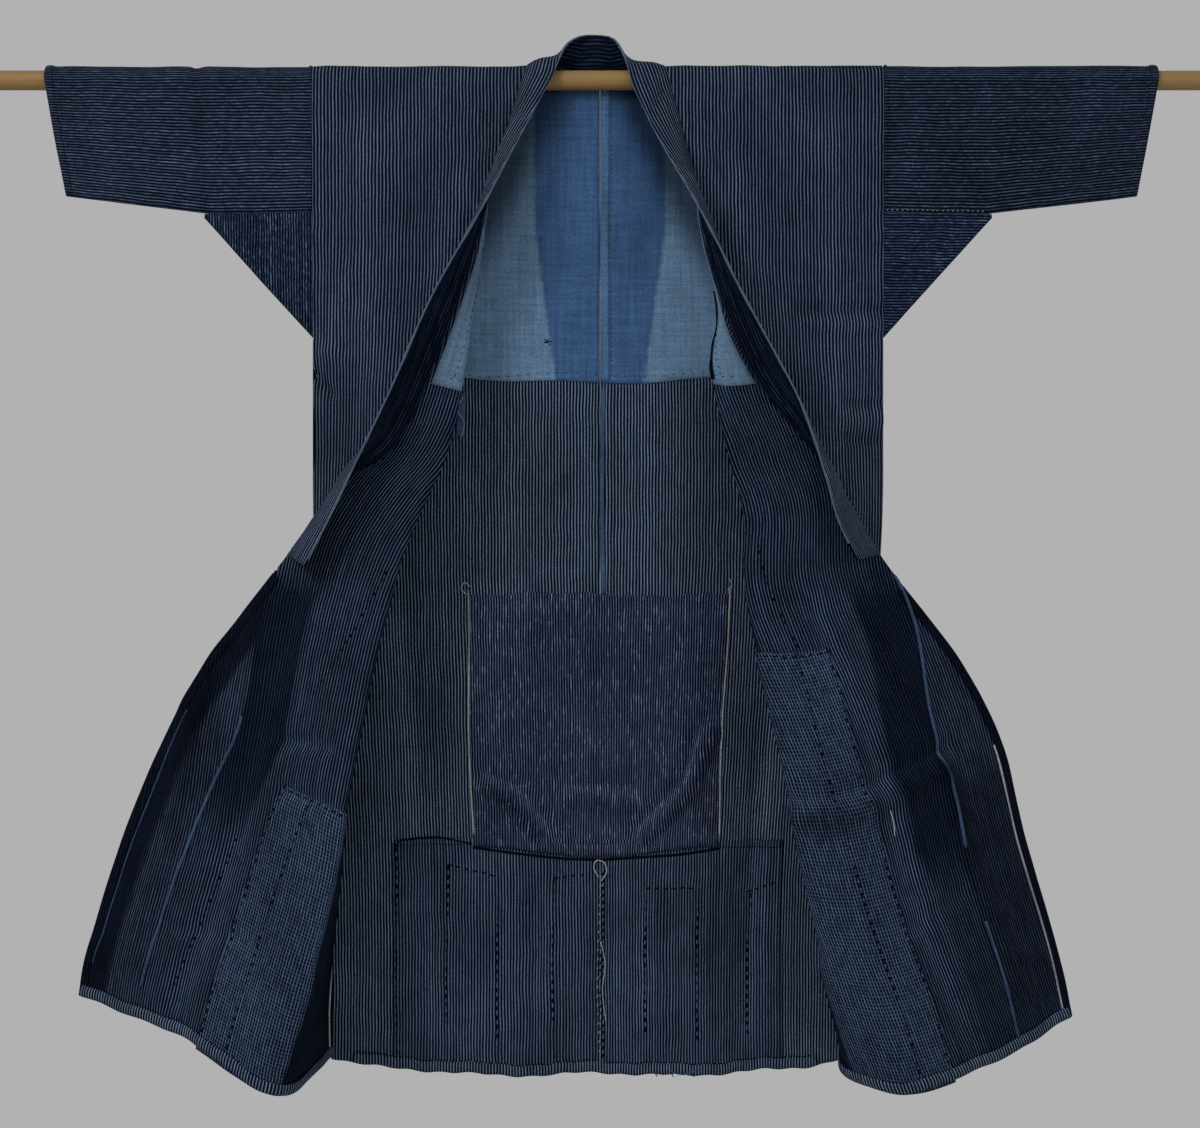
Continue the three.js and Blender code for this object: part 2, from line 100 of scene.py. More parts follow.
# How finely the forms are worked out
RAIL_STEPS = 400
TURN_STEPS = 8
SECTION_STEPS = 60
FRONT_ROWS, FRONT_COLUMNS = 220, 100
BACK_ROWS, BACK_COLUMNS = 206, 146
COLLAR_COLUMNS = 17
LINE_STEPS = 60

# A rail is a line down the cloth, by [outward from the centre, forward of the rod, below it].
LEFT = dict(
    sign=-1, shoulder=292, narrowing=18, neck=74, cuff=564, middle=0.5, bulge=10, dip=-15,
    fold=[
        (110, WRAP_RADIUS, 0), (114, 24, 122), (136, 56, 314), (150, 68, 380), (194, 88, 490),
        (240, 114, 715), (262, 120, 834), (318, 122, 1012),
    ],
    edge=[
        (78, WRAP_RADIUS, 0), (106, 22, 96), (142, 50, 228), (207, 66, 380), (247, 66, 405),
        (307, 66, 480), (396, 42, 594), (453, 28, 696), (519, 20, 883), (528, 18, 934),
    ],
    collar=[
        (49, 22, 0), (98, 64, 101), (118, 82, 143), (167, 92, 233), (201, 102, 312),
        (242, 114, 403), (257, 114, 435), (288, 110, 495),
    ],
)
RIGHT = dict(
    sign=1, shoulder=288, narrowing=35, neck=65, cuff=567, middle=0.25, bulge=45, dip=22,
    fold=[
        (98, WRAP_RADIUS, 0), (101, 25, 140), (118, 44, 238), (110, 56, 290), (128, 76, 388),
        (140, 88, 444), (141, 96, 518), (183, 114, 713), (205, 112, 837), (232, 106, 941),
        (246, 95, 1000),
    ],
    edge=[
        (70, WRAP_RADIUS, 0), (93, 22, 94), (122, 50, 229), (159, 60, 314), (219, 66, 389),
        (247, 66, 429), (279, 66, 485), (361, 44, 591), (406, 30, 675), (429, 26, 771),
        (463, 20, 883), (480, 16, 956),
    ],
    collar=[
        (33, 22, 8), (60, 46, 68), (99, 82, 143), (133, 90, 213), (160, 96, 263), (197, 106, 337),
        (216, 112, 393), (231, 114, 447), (251, 110, 489),
    ],
)
NAPE_EDGE = [
    (-49, -22, 0), (-41, -10, 21), (-31, 6, 40), (-18, 14, 48), (0, 18, 49), (13, 14, 46),
    (25, -4, 24), (33, -22, -8),
]


# ---- Curves and surfaces ----
def smooth(value):
    value = np.clip(value, 0, 1)
    return value * value * (3 - 2 * value)


def catmull(points, steps):
    """A centripetal Catmull-Rom curve through the points, as evenly counted positions."""
    points = np.asarray(points, float)
    ends = [2 * points[0] - points[1]], [2 * points[-1] - points[-2]]
    padded = np.vstack([ends[0], points, ends[1]])
    spans = len(points) - 1
    places = np.linspace(0, spans, steps + 1)
    out = np.empty((steps + 1, 3))
    for index, place in enumerate(places):
        span = min(int(place), spans - 1)
        out[index] = catmull_span(padded[span:span + 4], place - span)
    return out


def catmull_span(four, share):
    before, start, end, after = four
    gaps = np.sqrt(np.linalg.norm(np.diff(four, axis=0), axis=1)) + 1e-6
    leave = (start - before) / gaps[0] - (end - before) / (gaps[0] + gaps[1])
    leave = (leave + (end - start) / gaps[1]) * gaps[1]
    arrive = (end - start) / gaps[1] - (after - start) / (gaps[1] + gaps[2])
    arrive = (arrive + (after - end) / gaps[2]) * gaps[1]
    square = 3 * (end - start) - 2 * leave - arrive
    cube = 2 * (start - end) + leave + arrive
    return start + share * (leave + share * (square + share * cube))


def lengths_along(points):
    return np.concatenate([[0], np.cumsum(np.linalg.norm(np.diff(points, axis=0), axis=1))])


def resample(points, shares):
    along = lengths_along(points)
    places = np.asarray(shares) * along[-1]
    return np.stack([np.interp(places, along, points[:, axis]) for axis in range(3)], axis=-1)


def rail(half, name):
    placed = [(half["sign"] * out, -forward, -drop) for out, forward, drop in half[name]]
    return catmull(placed, RAIL_STEPS)


def over_rod(out, angle, side=-1):
    """A place on the cloth over the rod, turned by an angle from its top towards one side."""
    return out, side * WRAP_RADIUS * math.sin(angle), WRAP_RADIUS * math.cos(angle)


# ---- A panel knows where every point of its flat cut hangs ----
class Panel:
    """Rows of points down the cloth. across holds each point's flat distance from the first
    column, and down each row's distance from the shoulder line, in millimetres. outward is 1
    where the rows' own normals already point to the cloth's outer face, and -1 otherwise."""

    def __init__(self, points, across, down, outward, relief=None):
        self.points = np.asarray(points, float)
        self.across = np.asarray(across, float)
        self.down = np.asarray(down, float)
        self.outward = outward
        self.normals = self.find_normals()
        self.relief = np.zeros(self.across.shape)
        if relief is not None:
            rows = np.broadcast_to(self.down[:, None], self.across.shape)
            self.relief = relief(self.across, rows)
            self.points = self.points + self.normals * self.relief[..., None]
            self.normals = self.find_normals()

    def find_normals(self):
        sideways = np.gradient(self.points, axis=1)
        downwards = np.gradient(self.points, axis=0)
        normals = np.cross(sideways, downwards) * -self.outward
        return normals / (np.linalg.norm(normals, axis=2, keepdims=True) + 1e-12)

    def width(self, down):
        return np.interp(down, self.down, self.across[:, -1])

    def at(self, across, down, lift=0.0):
        """Positions, outward directions and relief of flat places, lifted towards the outer face."""
        across, down = np.broadcast_arrays(np.asarray(across, float), np.asarray(down, float))
        rows, columns = self.across.shape
        row = np.interp(down, self.down, np.arange(rows))
        low = np.clip(row.astype(int), 0, rows - 2)
        part = (row - low)[..., None]
        first, last = self.across[:, 0], self.across[:, -1]
        start = np.interp(down, self.down, first)
        end = np.interp(down, self.down, last)
        column = np.clip((across - start) / (end - start), 0, 1) * (columns - 1)
        left = np.clip(column.astype(int), 0, columns - 2)
        side = (column - left)[..., None]

        def blend(field):
            upper = field[low, left] * (1 - side) + field[low, left + 1] * side
            lower = field[low + 1, left] * (1 - side) + field[low + 1, left + 1] * side
            return upper * (1 - part) + lower * part

        normals = blend(self.normals)
        lifted = np.broadcast_to(np.asarray(lift, float), across.shape)[..., None]
        relief = blend(self.relief[..., None])[..., 0]
        return blend(self.points) + normals * lifted, normals, relief


def crease(across, down, start, end, width, height):
    """A soft ridge, or a trough where height is negative, along a line on the cloth."""
    line = np.subtract(end, start).astype(float)
    length = np.hypot(*line)
    unit = line / length
    x, y = across - start[0], down - start[1]
    along = x * unit[0] + y * unit[1]
    off = x * -unit[1] + y * unit[0]
    ends = smooth((along + width) / (2 * width)) * smooth((length + width - along) / (2 * width))
    return height * ends * np.exp(-((off / width) ** 2))


def rumple(across, down, size, height, seed):
    """Slow unevenness of cloth long in use, longer down the cloth than across it."""
    flat = np.stack([across / size, down / (1.8 * size), np.full_like(across, seed)], axis=-1)
    values = [noise.noise(Vector(place)) for place in flat.reshape(-1, 3)]
    return height * np.array(values).reshape(across.shape)


# ---- The fronts, each turned back on itself ----
def narrowed(drop):
    """How far a body panel's side has come in towards the hem, from 0 to 1."""
    return smooth((drop - NARROWING_START) / NARROWING_REACH)


def side_out(half, drop):
    return half["shoulder"] - half["narrowing"] * narrowed(drop)


def side_half_gap(drop):
    share = np.clip(drop / ARMHOLE_DROP, 0, 1)
    return SEAM_HALF + (WRAP_RADIUS - SEAM_HALF) * (1 - share * share)


def soften(points, passes=3):
    for _ in range(passes):
        points = np.vstack([points[:1], (points[:-2] + points[2:]) / 2, points[-1:]])
    return points


def front_sections(half, rows):
    """The front's level sections, from the shoulder to the hem, and where each folds."""
    down, sections, folds = [], [], []
    for step in range(TURN_STEPS):
        angle = math.pi / 2 * step / TURN_STEPS
        neck = half["neck"] + (half["edge"][0][0] - half["neck"]) * step / TURN_STEPS
        ends = [over_rod(half["sign"] * out, angle) for out in (half["shoulder"], neck)]
        sections.append(np.linspace(ends[0], ends[1], SECTION_STEPS + 1))
        down.append(WRAP_RADIUS * angle)
        folds.append(1.0)
    rails = {name: rail(half, name) for name in ("fold", "edge")}
    for share in np.linspace(0, 1, rows + 1):
        drop = share * SIDE_LENGTH
        side = (half["sign"] * side_out(half, drop), -side_half_gap(drop), -drop)
        fold, edge = (resample(rails[name], [share])[0] for name in ("fold", "edge"))
        middle = fold + (edge - fold) * half["middle"]
        middle = middle - [0, half["bulge"] * share ** 2, half["dip"] * share ** 2]
        section = soften(catmull([side, fold, middle, edge], SECTION_STEPS))
        sections.append(section)
        down.append(QUARTER_TURN + drop)
        nearest = np.argmin(np.linalg.norm(section - fold, axis=1))
        folds.append(lengths_along(section)[nearest] / lengths_along(section)[-1])
    return down, sections, folds


def front_panel(half, relief):
    down, sections, folds = front_sections(half, FRONT_ROWS)
    columns = np.linspace(0, 1, FRONT_COLUMNS)
    points = [resample(section, columns) for section in sections]
    across = [columns * lengths_along(section)[-1] for section in sections]
    panel = Panel(points, across, down, -half["sign"], relief)
    panel.folds = np.array(folds) * np.array([row[-1] for row in across])
    return panel


def strip_width(down):
    share = (down - QUARTER_TURN) / SIDE_LENGTH
    return STRIP_WIDTH * smooth((share - STRIP_START) / STRIP_WIDENING)


def on_turned_part(panel, share, down):
    """A flat place on the turned-back part, by its share from the fold to the edge."""
    fold = np.interp(down, panel.down, panel.folds)
    return fold + share * (panel.width(down) - fold)


# ---- The back, one surface from side seam to side seam ----
def neck_cut(out, neck):
    return np.where(out < neck, NECK_DEPTH * np.sqrt(np.clip(1 - (out / neck) ** 2, 0, 1)), 0)


def back_place(across, down):
    """Where the back hangs, by signed distance from its centre seam and from the shoulder."""
    half_width = np.where(across < 0, LEFT["shoulder"], RIGHT["shoulder"])
    narrowing = np.where(across < 0, LEFT["narrowing"], RIGHT["narrowing"])
    drop = down - QUARTER_TURN
    angle = np.clip(down, 0, QUARTER_TURN) / WRAP_RADIUS
    share = np.abs(across) / half_width
    hanging = WRAP_RADIUS + (side_half_gap(drop) - WRAP_RADIUS) * share ** 3
    phase = 2 * math.pi * across / BACK_WAVE_LENGTH
    swing = BACK_WAVE * smooth((drop - WAVE_START) / WAVE_REACH)
    wave = swing * np.cos(phase) * (1 - share ** 4)
    turning = down < QUARTER_TURN
    x = across * np.where(turning, 1, 1 - narrowing * narrowed(drop) / half_width)
    y = np.where(turning, WRAP_RADIUS * np.sin(angle), hanging + wave)
    z = np.where(turning, WRAP_RADIUS * np.cos(angle), -drop)
    return np.stack([x, y, z], axis=-1)


def back_panel(relief):
    turning = np.linspace(0, QUARTER_TURN, TURN_STEPS + 1)[:-1]
    hanging = QUARTER_TURN + np.linspace(0, BACK_LENGTH, BACK_ROWS)
    down = np.concatenate([turning, hanging])
    across = np.linspace(-LEFT["shoulder"], RIGHT["shoulder"], BACK_COLUMNS)
    grid = np.meshgrid(across, down)
    return Panel(back_place(*grid), grid[0], down, -1, relief)


# ---- Sleeves and gussets ----
def underarm_half_gap(half, out):
    opening = side_half_gap(SLEEVE_DROP)
    share = np.clip((out - half["shoulder"]) / GUSSET_REACH, 0, 1)
    return SEAM_HALF + (opening - SEAM_HALF) * (1 - smooth(share))


def sleeve_drop(half, out):
    start = half["shoulder"] + GUSSET_REACH
    share = np.clip((out - start) / (half["cuff"] - start), 0, 1)
    return SLEEVE_DROP + (CUFF_DROP - SLEEVE_DROP) * share


def sleeve_place(half, out, side, share):
    """share runs from the level of the rod's axis, 0, to the underarm seam, 1."""
    bottom = underarm_half_gap(half, out)
    gap = bottom + (WRAP_RADIUS - bottom) * (1 - share * share)
    slant = CUFF_SLANT * share * (out - half["shoulder"]) / (half["cuff"] - half["shoulder"])
    return half["sign"] * (out - slant), side * gap, -share * sleeve_drop(half, out)


def sleeve_panel(half, relief):
    """Rows run along the sleeve, columns from the front's underarm seam over the rod."""
    outs = np.linspace(half["shoulder"] + SLEEVE_SEAM_GAP, half["cuff"], SECTION_STEPS)
    shares = np.linspace(0, 1, 26)[1:]
    angles = np.linspace(-math.pi / 2, math.pi / 2, 12)
    points = []
    for out in outs:
        front = [sleeve_place(half, out, -1, share) for share in shares[::-1]]
        top = [over_rod(half["sign"] * out, angle, 1) for angle in angles]
        rear = [sleeve_place(half, out, 1, share) for share in shares]
        points.append(front + top + rear)
    points = np.array(points)
    around = lengths_along(points[0])
    across = np.broadcast_to(around, points.shape[:2])
    return Panel(points, across, outs - outs[0], half["sign"], relief)


def gusset_panel(half, relief):
    start, end = half["shoulder"] + SLEEVE_SEAM_GAP, half["shoulder"] + GUSSET_REACH - 3
    outs = np.linspace(start, end, 30)
    top = SLEEVE_DROP + 0.4
    turn = 1.7
    points = []
    for out in outs:
        share = (out - half["shoulder"]) / GUSSET_REACH
        bottom = ARMHOLE_DROP + (top - ARMHOLE_DROP) * share
        wide = float(underarm_half_gap(half, out))
        middle = (turn + (wide - turn) * 0.6, (top + bottom - turn) / 2)
        route = [(wide, top), middle, (turn, bottom - turn)]
        front = [(half["sign"] * out, -gap, -drop) for gap, drop in route]
        lowest = [(half["sign"] * out, 0, -bottom)]
        rear = [(half["sign"] * out, gap, -drop) for gap, drop in reversed(route)]
        points.append(resample(np.array(front + lowest + rear), np.linspace(0, 1, SECTION_STEPS)))
    points = np.array(points)
    longest = lengths_along(points[0])[-1]
    shares = np.linspace(-0.5, 0.5, SECTION_STEPS)
    across = [shares * lengths_along(line)[-1] + longest / 2 for line in points]
    return Panel(points, across, outs - outs[0], -half["sign"], relief)


# ---- Collar: a band from one front, round the neck, to the other ----
def collar_stations():
    stations = []
    for half in (LEFT, RIGHT):
        seam_rail, edge_rail = rail(half, "edge"), rail(half, "collar")
        along = lengths_along(seam_rail)
        end = np.interp(COLLAR_END_DROP, -seam_rail[:, 2], along) / along[-1]
        shares = np.linspace(0, 1, 150)
        seam, edge = resample(seam_rail, shares * end), resample(edge_rail, shares)
        stations.append((seam, edge))
    (left_seam, left_edge), (right_seam, right_edge) = stations
    turns = {}
    for half in (LEFT, RIGHT):
        turns[half["sign"]] = []
        for share in np.linspace(0, 1, 7)[:-1]:
            neck = half["neck"] + (half["edge"][0][0] - half["neck"]) * share
            turns[half["sign"]].append(over_rod(half["sign"] * neck, share * math.pi / 2))
    route = [left_seam[0]] + turns[-1][::-1]
    for across in np.linspace(-LEFT["neck"], RIGHT["neck"], 41)[1:-1]:
        neck = LEFT["neck"] if across < 0 else RIGHT["neck"]
        route.append(back_place(np.array(across), neck_cut(abs(across), neck)))
    route += turns[1] + [right_seam[0]]
    nape_shares = np.linspace(0, 1, 90)[1:-1]
    nape_seam = resample(np.array(route, float), nape_shares)
    nape_edge = resample(catmull(NAPE_EDGE, 200), nape_shares)
    seam = np.vstack([left_seam[::-1], nape_seam, right_seam])
    edge = np.vstack([left_edge[::-1], nape_edge, right_edge])
    return seam, edge


def collar_panel(relief):
    seam, edge = collar_stations()
    tangents = np.gradient(seam, axis=0)
    across = edge - seam
    chord = np.linalg.norm(across, axis=1, keepdims=True)
    outer = np.cross(across, tangents)
    outer /= np.linalg.norm(outer, axis=1, keepdims=True)
    for _ in range(4):
        outer[1:-1] = (outer[:-2] + outer[1:-1] + outer[2:]) / 3
    roll = np.minimum(np.sqrt(3 * chord * np.maximum(COLLAR_WIDTH - chord, 0) / 8), COLLAR_ROLL)
    crest = (seam + edge) / 2 + 2 * roll * outer
    shares = np.linspace(0, 1, COLLAR_COLUMNS)
    part = shares[None, :, None]
    curve = seam[:, None] * (1 - part) ** 2 + edge[:, None] * part ** 2
    curve += crest[:, None] * 2 * part * (1 - part)
    points = np.array([resample(line, shares) for line in curve])
    widths = [lengths_along(line) for line in points]
    return Panel(points, widths, lengths_along(seam), -1, relief)


# ---- Relief: the creases of each cloth, by places on its flat cut ----
def creased(creases, size, height, seed):
    def relief(across, down):
        total = rumple(across, down, size, height, seed)
        total += rumple(across, down, size / 3.2, height / 3.5, seed + 7)
        for start, end, width, tall in creases:
            total += crease(across, down, start, end, width, CREASE_DEPTH * tall)
        return total
    return relief


# Each crease: its start, its end, its width and its height.
LEFT_FRONT_CREASES = [
    ((0, 318), (24, 342), 5, -2.2), ((8, 296), (40, 306), 7, 1.4),
    ((150, 120), (120, 420), 16, 2.0), ((60, 60), (74, 380), 22, 1.6),
    ((120, 24), (186, 190), 4, 1.0),
    ((40, 210), (20, 300), 10, 1.4), ((100, 560), (118, 900), 20, 3.0), ((60, 620), (40, 940), 18, -2.6),
    ((150, 700), (215, 716), 6, 3.0), ((130, 748), (206, 760), 6, 3.0),
    ((220, 560), (262, 1000), 14, 2.4), ((300, 600), (330, 980), 12, -1.8),
    ((340, 720), (372, 960), 9, 1.6), ((190, 900), (300, 930), 8, 1.2),
]
RIGHT_FRONT_CREASES = [
    ((2, 256), (94, 258), 5, -2.0), ((2, 270), (80, 272), 7, 1.5),
    ((0, 350), (48, 352), 4, -1.8), ((4, 388), (44, 388), 4, -1.8),
    ((0, 368), (50, 370), 6, 1.4), ((150, 110), (128, 430), 16, 2.0), ((60, 60), (52, 360), 22, 1.6),
    ((140, 745), (330, 728), 7, 3.0), ((140, 764), (320, 750), 9, -2.2),
    ((96, 560), (110, 900), 20, 3.0), ((56, 620), (40, 940), 18, -2.4),
    ((238, 560), (240, 980), 13, 2.2), ((292, 600), (330, 980), 11, -1.8),
    ((330, 940), (362, 948), 4, -2.4), ((200, 880), (300, 860), 8, 1.4),
]
BACK_CREASES = [
    ((-128, 728), (-90, 742), 7, 3.6), ((-90, 742), (-56, 784), 7, 3.4),
    ((-46, 740), (42, 748), 8, 3.0), ((112, 676), (94, 736), 7, 3.4), ((94, 736), (38, 790), 7, 3.4),
    ((-126, 746), (-96, 758), 5, -2.6), ((-96, 758), (-68, 796), 5, -2.6),
    ((-40, 758), (40, 764), 5, -2.2),
    ((126, 684), (106, 746), 5, -2.6), ((106, 746), (52, 800), 5, -2.6),
    ((-120, 560), (-20, 548), 8, 1.6), ((30, 556), (130, 566), 8, 1.6),
    ((-210, 560), (-180, 1000), 14, 2.2), ((190, 560), (170, 1000), 14, 2.2),
    ((-222, 706), (-150, 696), 4, -1.6), ((-230, 120), (-200, 420), 18, 1.8),
    ((210, 120), (190, 420), 18, 1.8), ((-60, 840), (-70, 1010), 12, 1.6),
    ((70, 840), (82, 1010), 12, -1.6),
    ((-12, 330), (-10, 520), 9, 1.4), ((16, 330), (18, 520), 9, -1.0),
]
LEFT_SLEEVE_CREASES = [
    ((0, 118), (300, 118), 5, -1.3), ((40, 172), (96, 134), 4, -1.2), ((30, 60), (130, 52), 14, 1.4),
    ((40, 210), (130, 230), 12, 1.3), ((200, 60), (260, 200), 14, 1.2), ((20, 14), (110, 24), 9, 1.3),
]
RIGHT_SLEEVE_CREASES = [
    ((20, 20), (110, 34), 10, 1.4), ((34, 120), (120, 100), 12, 1.2), ((30, 200), (130, 214), 12, 1.2),
    ((190, 90), (260, 190), 14, 1.2), ((60, 60), (16, 110), 6, -1.2),
]
GUSSET_CREASES = [
    ((20, 10), (60, 80), 7, 1.2), ((200, 10), (170, 80), 7, 1.2), ((84, 8), (70, 60), 5, -1.0),
]
COLLAR_CREASES = [
    ((26, 90), (40, 170), 5, 0.9), ((10, 300), (44, 330), 5, -0.8), ((30, 420), (16, 500), 6, 0.9),
    ((12, 760), (40, 800), 5, -0.9), ((36, 860), (20, 960), 6, 0.9), ((24, 1010), (40, 1080), 5, 0.9),
]

front_cloth = {
    "left": front_panel(LEFT, creased(LEFT_FRONT_CREASES, 62, 2.6, 3.1)),
    "right": front_panel(RIGHT, creased(RIGHT_FRONT_CREASES, 62, 2.6, 11.7)),
}
back_cloth = back_panel(creased(BACK_CREASES, 70, 2.2, 21.3))
sleeve_cloth = {
    "left": sleeve_panel(LEFT, creased(LEFT_SLEEVE_CREASES, 46, 1.6, 31.9)),
    "right": sleeve_panel(RIGHT, creased(RIGHT_SLEEVE_CREASES, 46, 1.6, 41.5)),
}
gusset_cloth = {
    "left": gusset_panel(LEFT, creased(GUSSET_CREASES, 36, 1.0, 51.1)),
    "right": gusset_panel(RIGHT, creased(GUSSET_CREASES, 36, 1.0, 61.7)),
}
collar_cloth = collar_panel(creased(COLLAR_CREASES, 40, 0.9, 71.3))
HALVES = {"left": LEFT, "right": RIGHT}


# ---- Materials ----
MATH, NOISE, RANGE = "ShaderNodeMath", "ShaderNodeTexNoise", "ShaderNodeMapRange"
MIX, MAPPING, ATTRIBUTE = "ShaderNodeMix", "ShaderNodeMapping", "ShaderNodeAttribute"
BLEND = {"data_type": "RGBA"}
TINT = {"data_type": "RGBA", "blend_type": "MULTIPLY"}
LINE_SOFTNESS = 0.1
# Colour change per mm of relief height: partly wear, partly painted light and shade on creases.
RIDGE_WEAR_AND_SHADE = 0.07


def linear(code):
    """A six-figure sRGB colour as linear light."""
    values = [int(code[start:start + 2], 16) / 255 for start in (1, 3, 5)]
    return [v / 12.92 if v <= 0.04045 else ((v + 0.055) / 1.055) ** 2.4 for v in values] + [1.0]


def node(tree, kind, inputs, take=0, **settings):
    """Adds a node with its settings, and its inputs as links or plain values. Gives the output
    that take names, or the node itself where take is None."""
    made = tree.nodes.new(kind)
    for name, value in settings.items():
        setattr(made, name, value)
    for name, value in inputs.items():
        if isinstance(value, bpy.types.NodeSocket):
            tree.links.new(value, made.inputs[name])
        else:
            made.inputs[name].default_value = value
    return made if take is None else made.outputs[take]


def new_material(name):
    material = bpy.data.materials.new(name)
    material.use_nodes = True
    tree = material.node_tree
    tree.nodes.clear()
    return material, tree


def finish_material(tree, colour, height, depth, roughness, gloss=0.03):
    bump = node(tree, "ShaderNodeBump", {"Height": height, "Distance": depth * MM, "Strength": 1.0})
    shader = node(tree, "ShaderNodeBsdfPrincipled", {
        "Base Color": colour, "Roughness": roughness, "Normal": bump, "Specular IOR Level": gloss,
    })
    node(tree, "ShaderNodeOutputMaterial", {"Surface": shader}, None)


def thread_lines(tree, cut, place, along, period, width, low, breaks, break_length, wander, flecks):
    """Pale threads across the cloth, a period in millimetres apart: each is its own strength,
    comes and goes along itself, and has brighter flecks where it is thickest."""
    drift = node(tree, NOISE, {"Scale": 26.0, "Detail": 1.0, "Vector": cut})
    sway = node(tree, MATH, {0: drift, 1: wander}, operation="MULTIPLY")
    phase = node(tree, MATH, {0: place, 1: 1000 / period, 2: sway}, operation="MULTIPLY_ADD")
    number = node(tree, MATH, {0: phase}, operation="FLOOR")
    part = node(tree, MATH, {0: phase}, operation="FRACT")
    from_middle = node(tree, MATH, {0: part, 1: 0.5}, operation="SUBTRACT")
    distance = node(tree, MATH, {0: from_middle}, operation="ABSOLUTE")
    line = node(tree, RANGE, {
        "Value": distance, "From Min": width / 2 + LINE_SOFTNESS,
        "From Max": max(width / 2 - LINE_SOFTNESS, 0.0),
    }, interpolation_type="SMOOTHSTEP")
    own = node(tree, "ShaderNodeTexWhiteNoise", {"W": number}, noise_dimensions="1D")
    strength = node(tree, RANGE, {"Value": own, "To Min": low})
    lane = node(tree, "ShaderNodeCombineXYZ", {
        "X": node(tree, MATH, {0: number, 1: 3.7}, operation="MULTIPLY"),
        "Y": node(tree, MATH, {0: along, 1: 1000 / break_length}, operation="MULTIPLY"),
    })
    gaps = node(tree, NOISE, {"Scale": 1.0, "Detail": 2.0, "Vector": lane})
    shown = node(tree, RANGE, {
        "Value": gaps, "From Min": 0.38, "From Max": 0.56,
        "To Min": (1 - flecks) * (1 - breaks), "To Max": 1 - flecks,
    })
    bright = node(tree, RANGE, {"Value": gaps, "From Min": 0.58, "From Max": 0.64, "To Max": flecks})
    # Lines takes stripes out where a piece asks, on the fronts' wings partly as painted shade.
    lines_and_painted_shade = node(tree, ATTRIBUTE, {}, "Fac", attribute_name="Lines")
    drawn = node(tree, MATH, {0: shown, 1: bright}, operation="ADD")
    for factor in (line, strength, lines_and_painted_shade):
        drawn = node(tree, MATH, {0: drawn, 1: factor}, operation="MULTIPLY")
    return drawn


def worn_and_shaded(tree, cut, colour, fade, seed):
    """Uneven fading in patches of 90 and 14 mm. By relief height the colour is paler on ridges and
    darker in troughs, partly as wear and partly as painted light and shade that make the creases show.
    """
    offset = node(tree, MAPPING, {"Vector": cut, "Location": (seed, seed, 0)})
    broad = node(tree, NOISE, {"Scale": 11.0, "Detail": 3.0, "Vector": offset})
    near = node(tree, NOISE, {"Scale": 70.0, "Detail": 3.0, "Vector": offset})
    mixed = node(tree, MATH, {0: near, 1: 0.45, 2: broad}, operation="MULTIPLY_ADD")
    level = node(tree, RANGE, {
        "Value": mixed, "From Min": 0.45, "From Max": 1.0, "To Min": 1 - fade, "To Max": 1 + fade,
    }, clamp=False)
    ridge = node(tree, ATTRIBUTE, {}, "Fac", attribute_name="Ridge")
    amount = node(tree, MATH, {0: ridge, 1: RIDGE_WEAR_AND_SHADE, 2: level}, operation="MULTIPLY_ADD")
    return node(tree, MIX, {"Factor": 1.0, 6: colour, 7: amount}, 2, **TINT)


def weave(tree, cut):
    """Single threads are 0.5 mm and too fine to show, so a slubby cloth is drawn at 1.3 mm."""
    warp_space = node(tree, MAPPING, {"Vector": cut, "Scale": (1.0, 0.45, 1.0)})
    weft_space = node(tree, MAPPING, {"Vector": cut, "Scale": (0.4, 1.0, 1.0)})
    warps = node(tree, NOISE, {"Scale": 760.0, "Detail": 1.0, "Vector": warp_space})
    wefts = node(tree, NOISE, {"Scale": 760.0, "Detail": 1.0, "Vector": weft_space})
    return node(tree, MATH, {0: warps, 1: wefts}, operation="ADD")


def striped_cotton(name, dark, pale, period, width=0.36, low=0.72, breaks=0.25, break_length=22,
                   fade=0.2, seed=0.0, turned=False, slant=0.0, checks=0.0, wander=0.8, flecks=0.0):
    """Handwoven indigo cotton with thin pale warp stripes. Gives a dark, dry, matt blue with
    uneven lines that fade, break and wander as the cloth does. slant is the stripes' slope on
    the flat cut."""
    material, tree = new_material(name)
    cut = node(tree, "ShaderNodeUVMap", {}, uv_map="Cut")
    axes = node(tree, "ShaderNodeSeparateXYZ", {"Vector": cut}, None)
    across, along = axes.outputs[1 if turned else 0], axes.outputs[0 if turned else 1]
    if slant:
        across = node(tree, MATH, {0: along, 1: slant, 2: across}, operation="MULTIPLY_ADD")
    look = (width, low, breaks, break_length, wander, flecks)
    lines = thread_lines(tree, cut, across, along, period, *look)
    if checks:
        wefts = thread_lines(tree, cut, along, across, period * 1.15, *look)
        weaker = node(tree, MATH, {0: wefts, 1: checks}, operation="MULTIPLY")
        lines = node(tree, MATH, {0: lines, 1: weaker}, operation="MAXIMUM")
    threads = weave(tree, cut)
    grain = node(tree, RANGE, {
        "Value": threads, "From Min": 0.7, "From Max": 1.3, "To Min": 0.75, "To Max": 1.25,
    })
    colour = node(tree, MIX, {"Factor": lines, 6: linear(dark), 7: linear(pale)}, 2, **BLEND)
    grained = node(tree, MIX, {"Factor": 1.0, 6: colour, 7: grain}, 2, **TINT)
    height = node(tree, MATH, {0: lines, 1: 0.5, 2: threads}, operation="MULTIPLY_ADD")
    finish_material(tree, worn_and_shaded(tree, cut, grained, fade, seed), height, 0.5, 0.95)
    return material


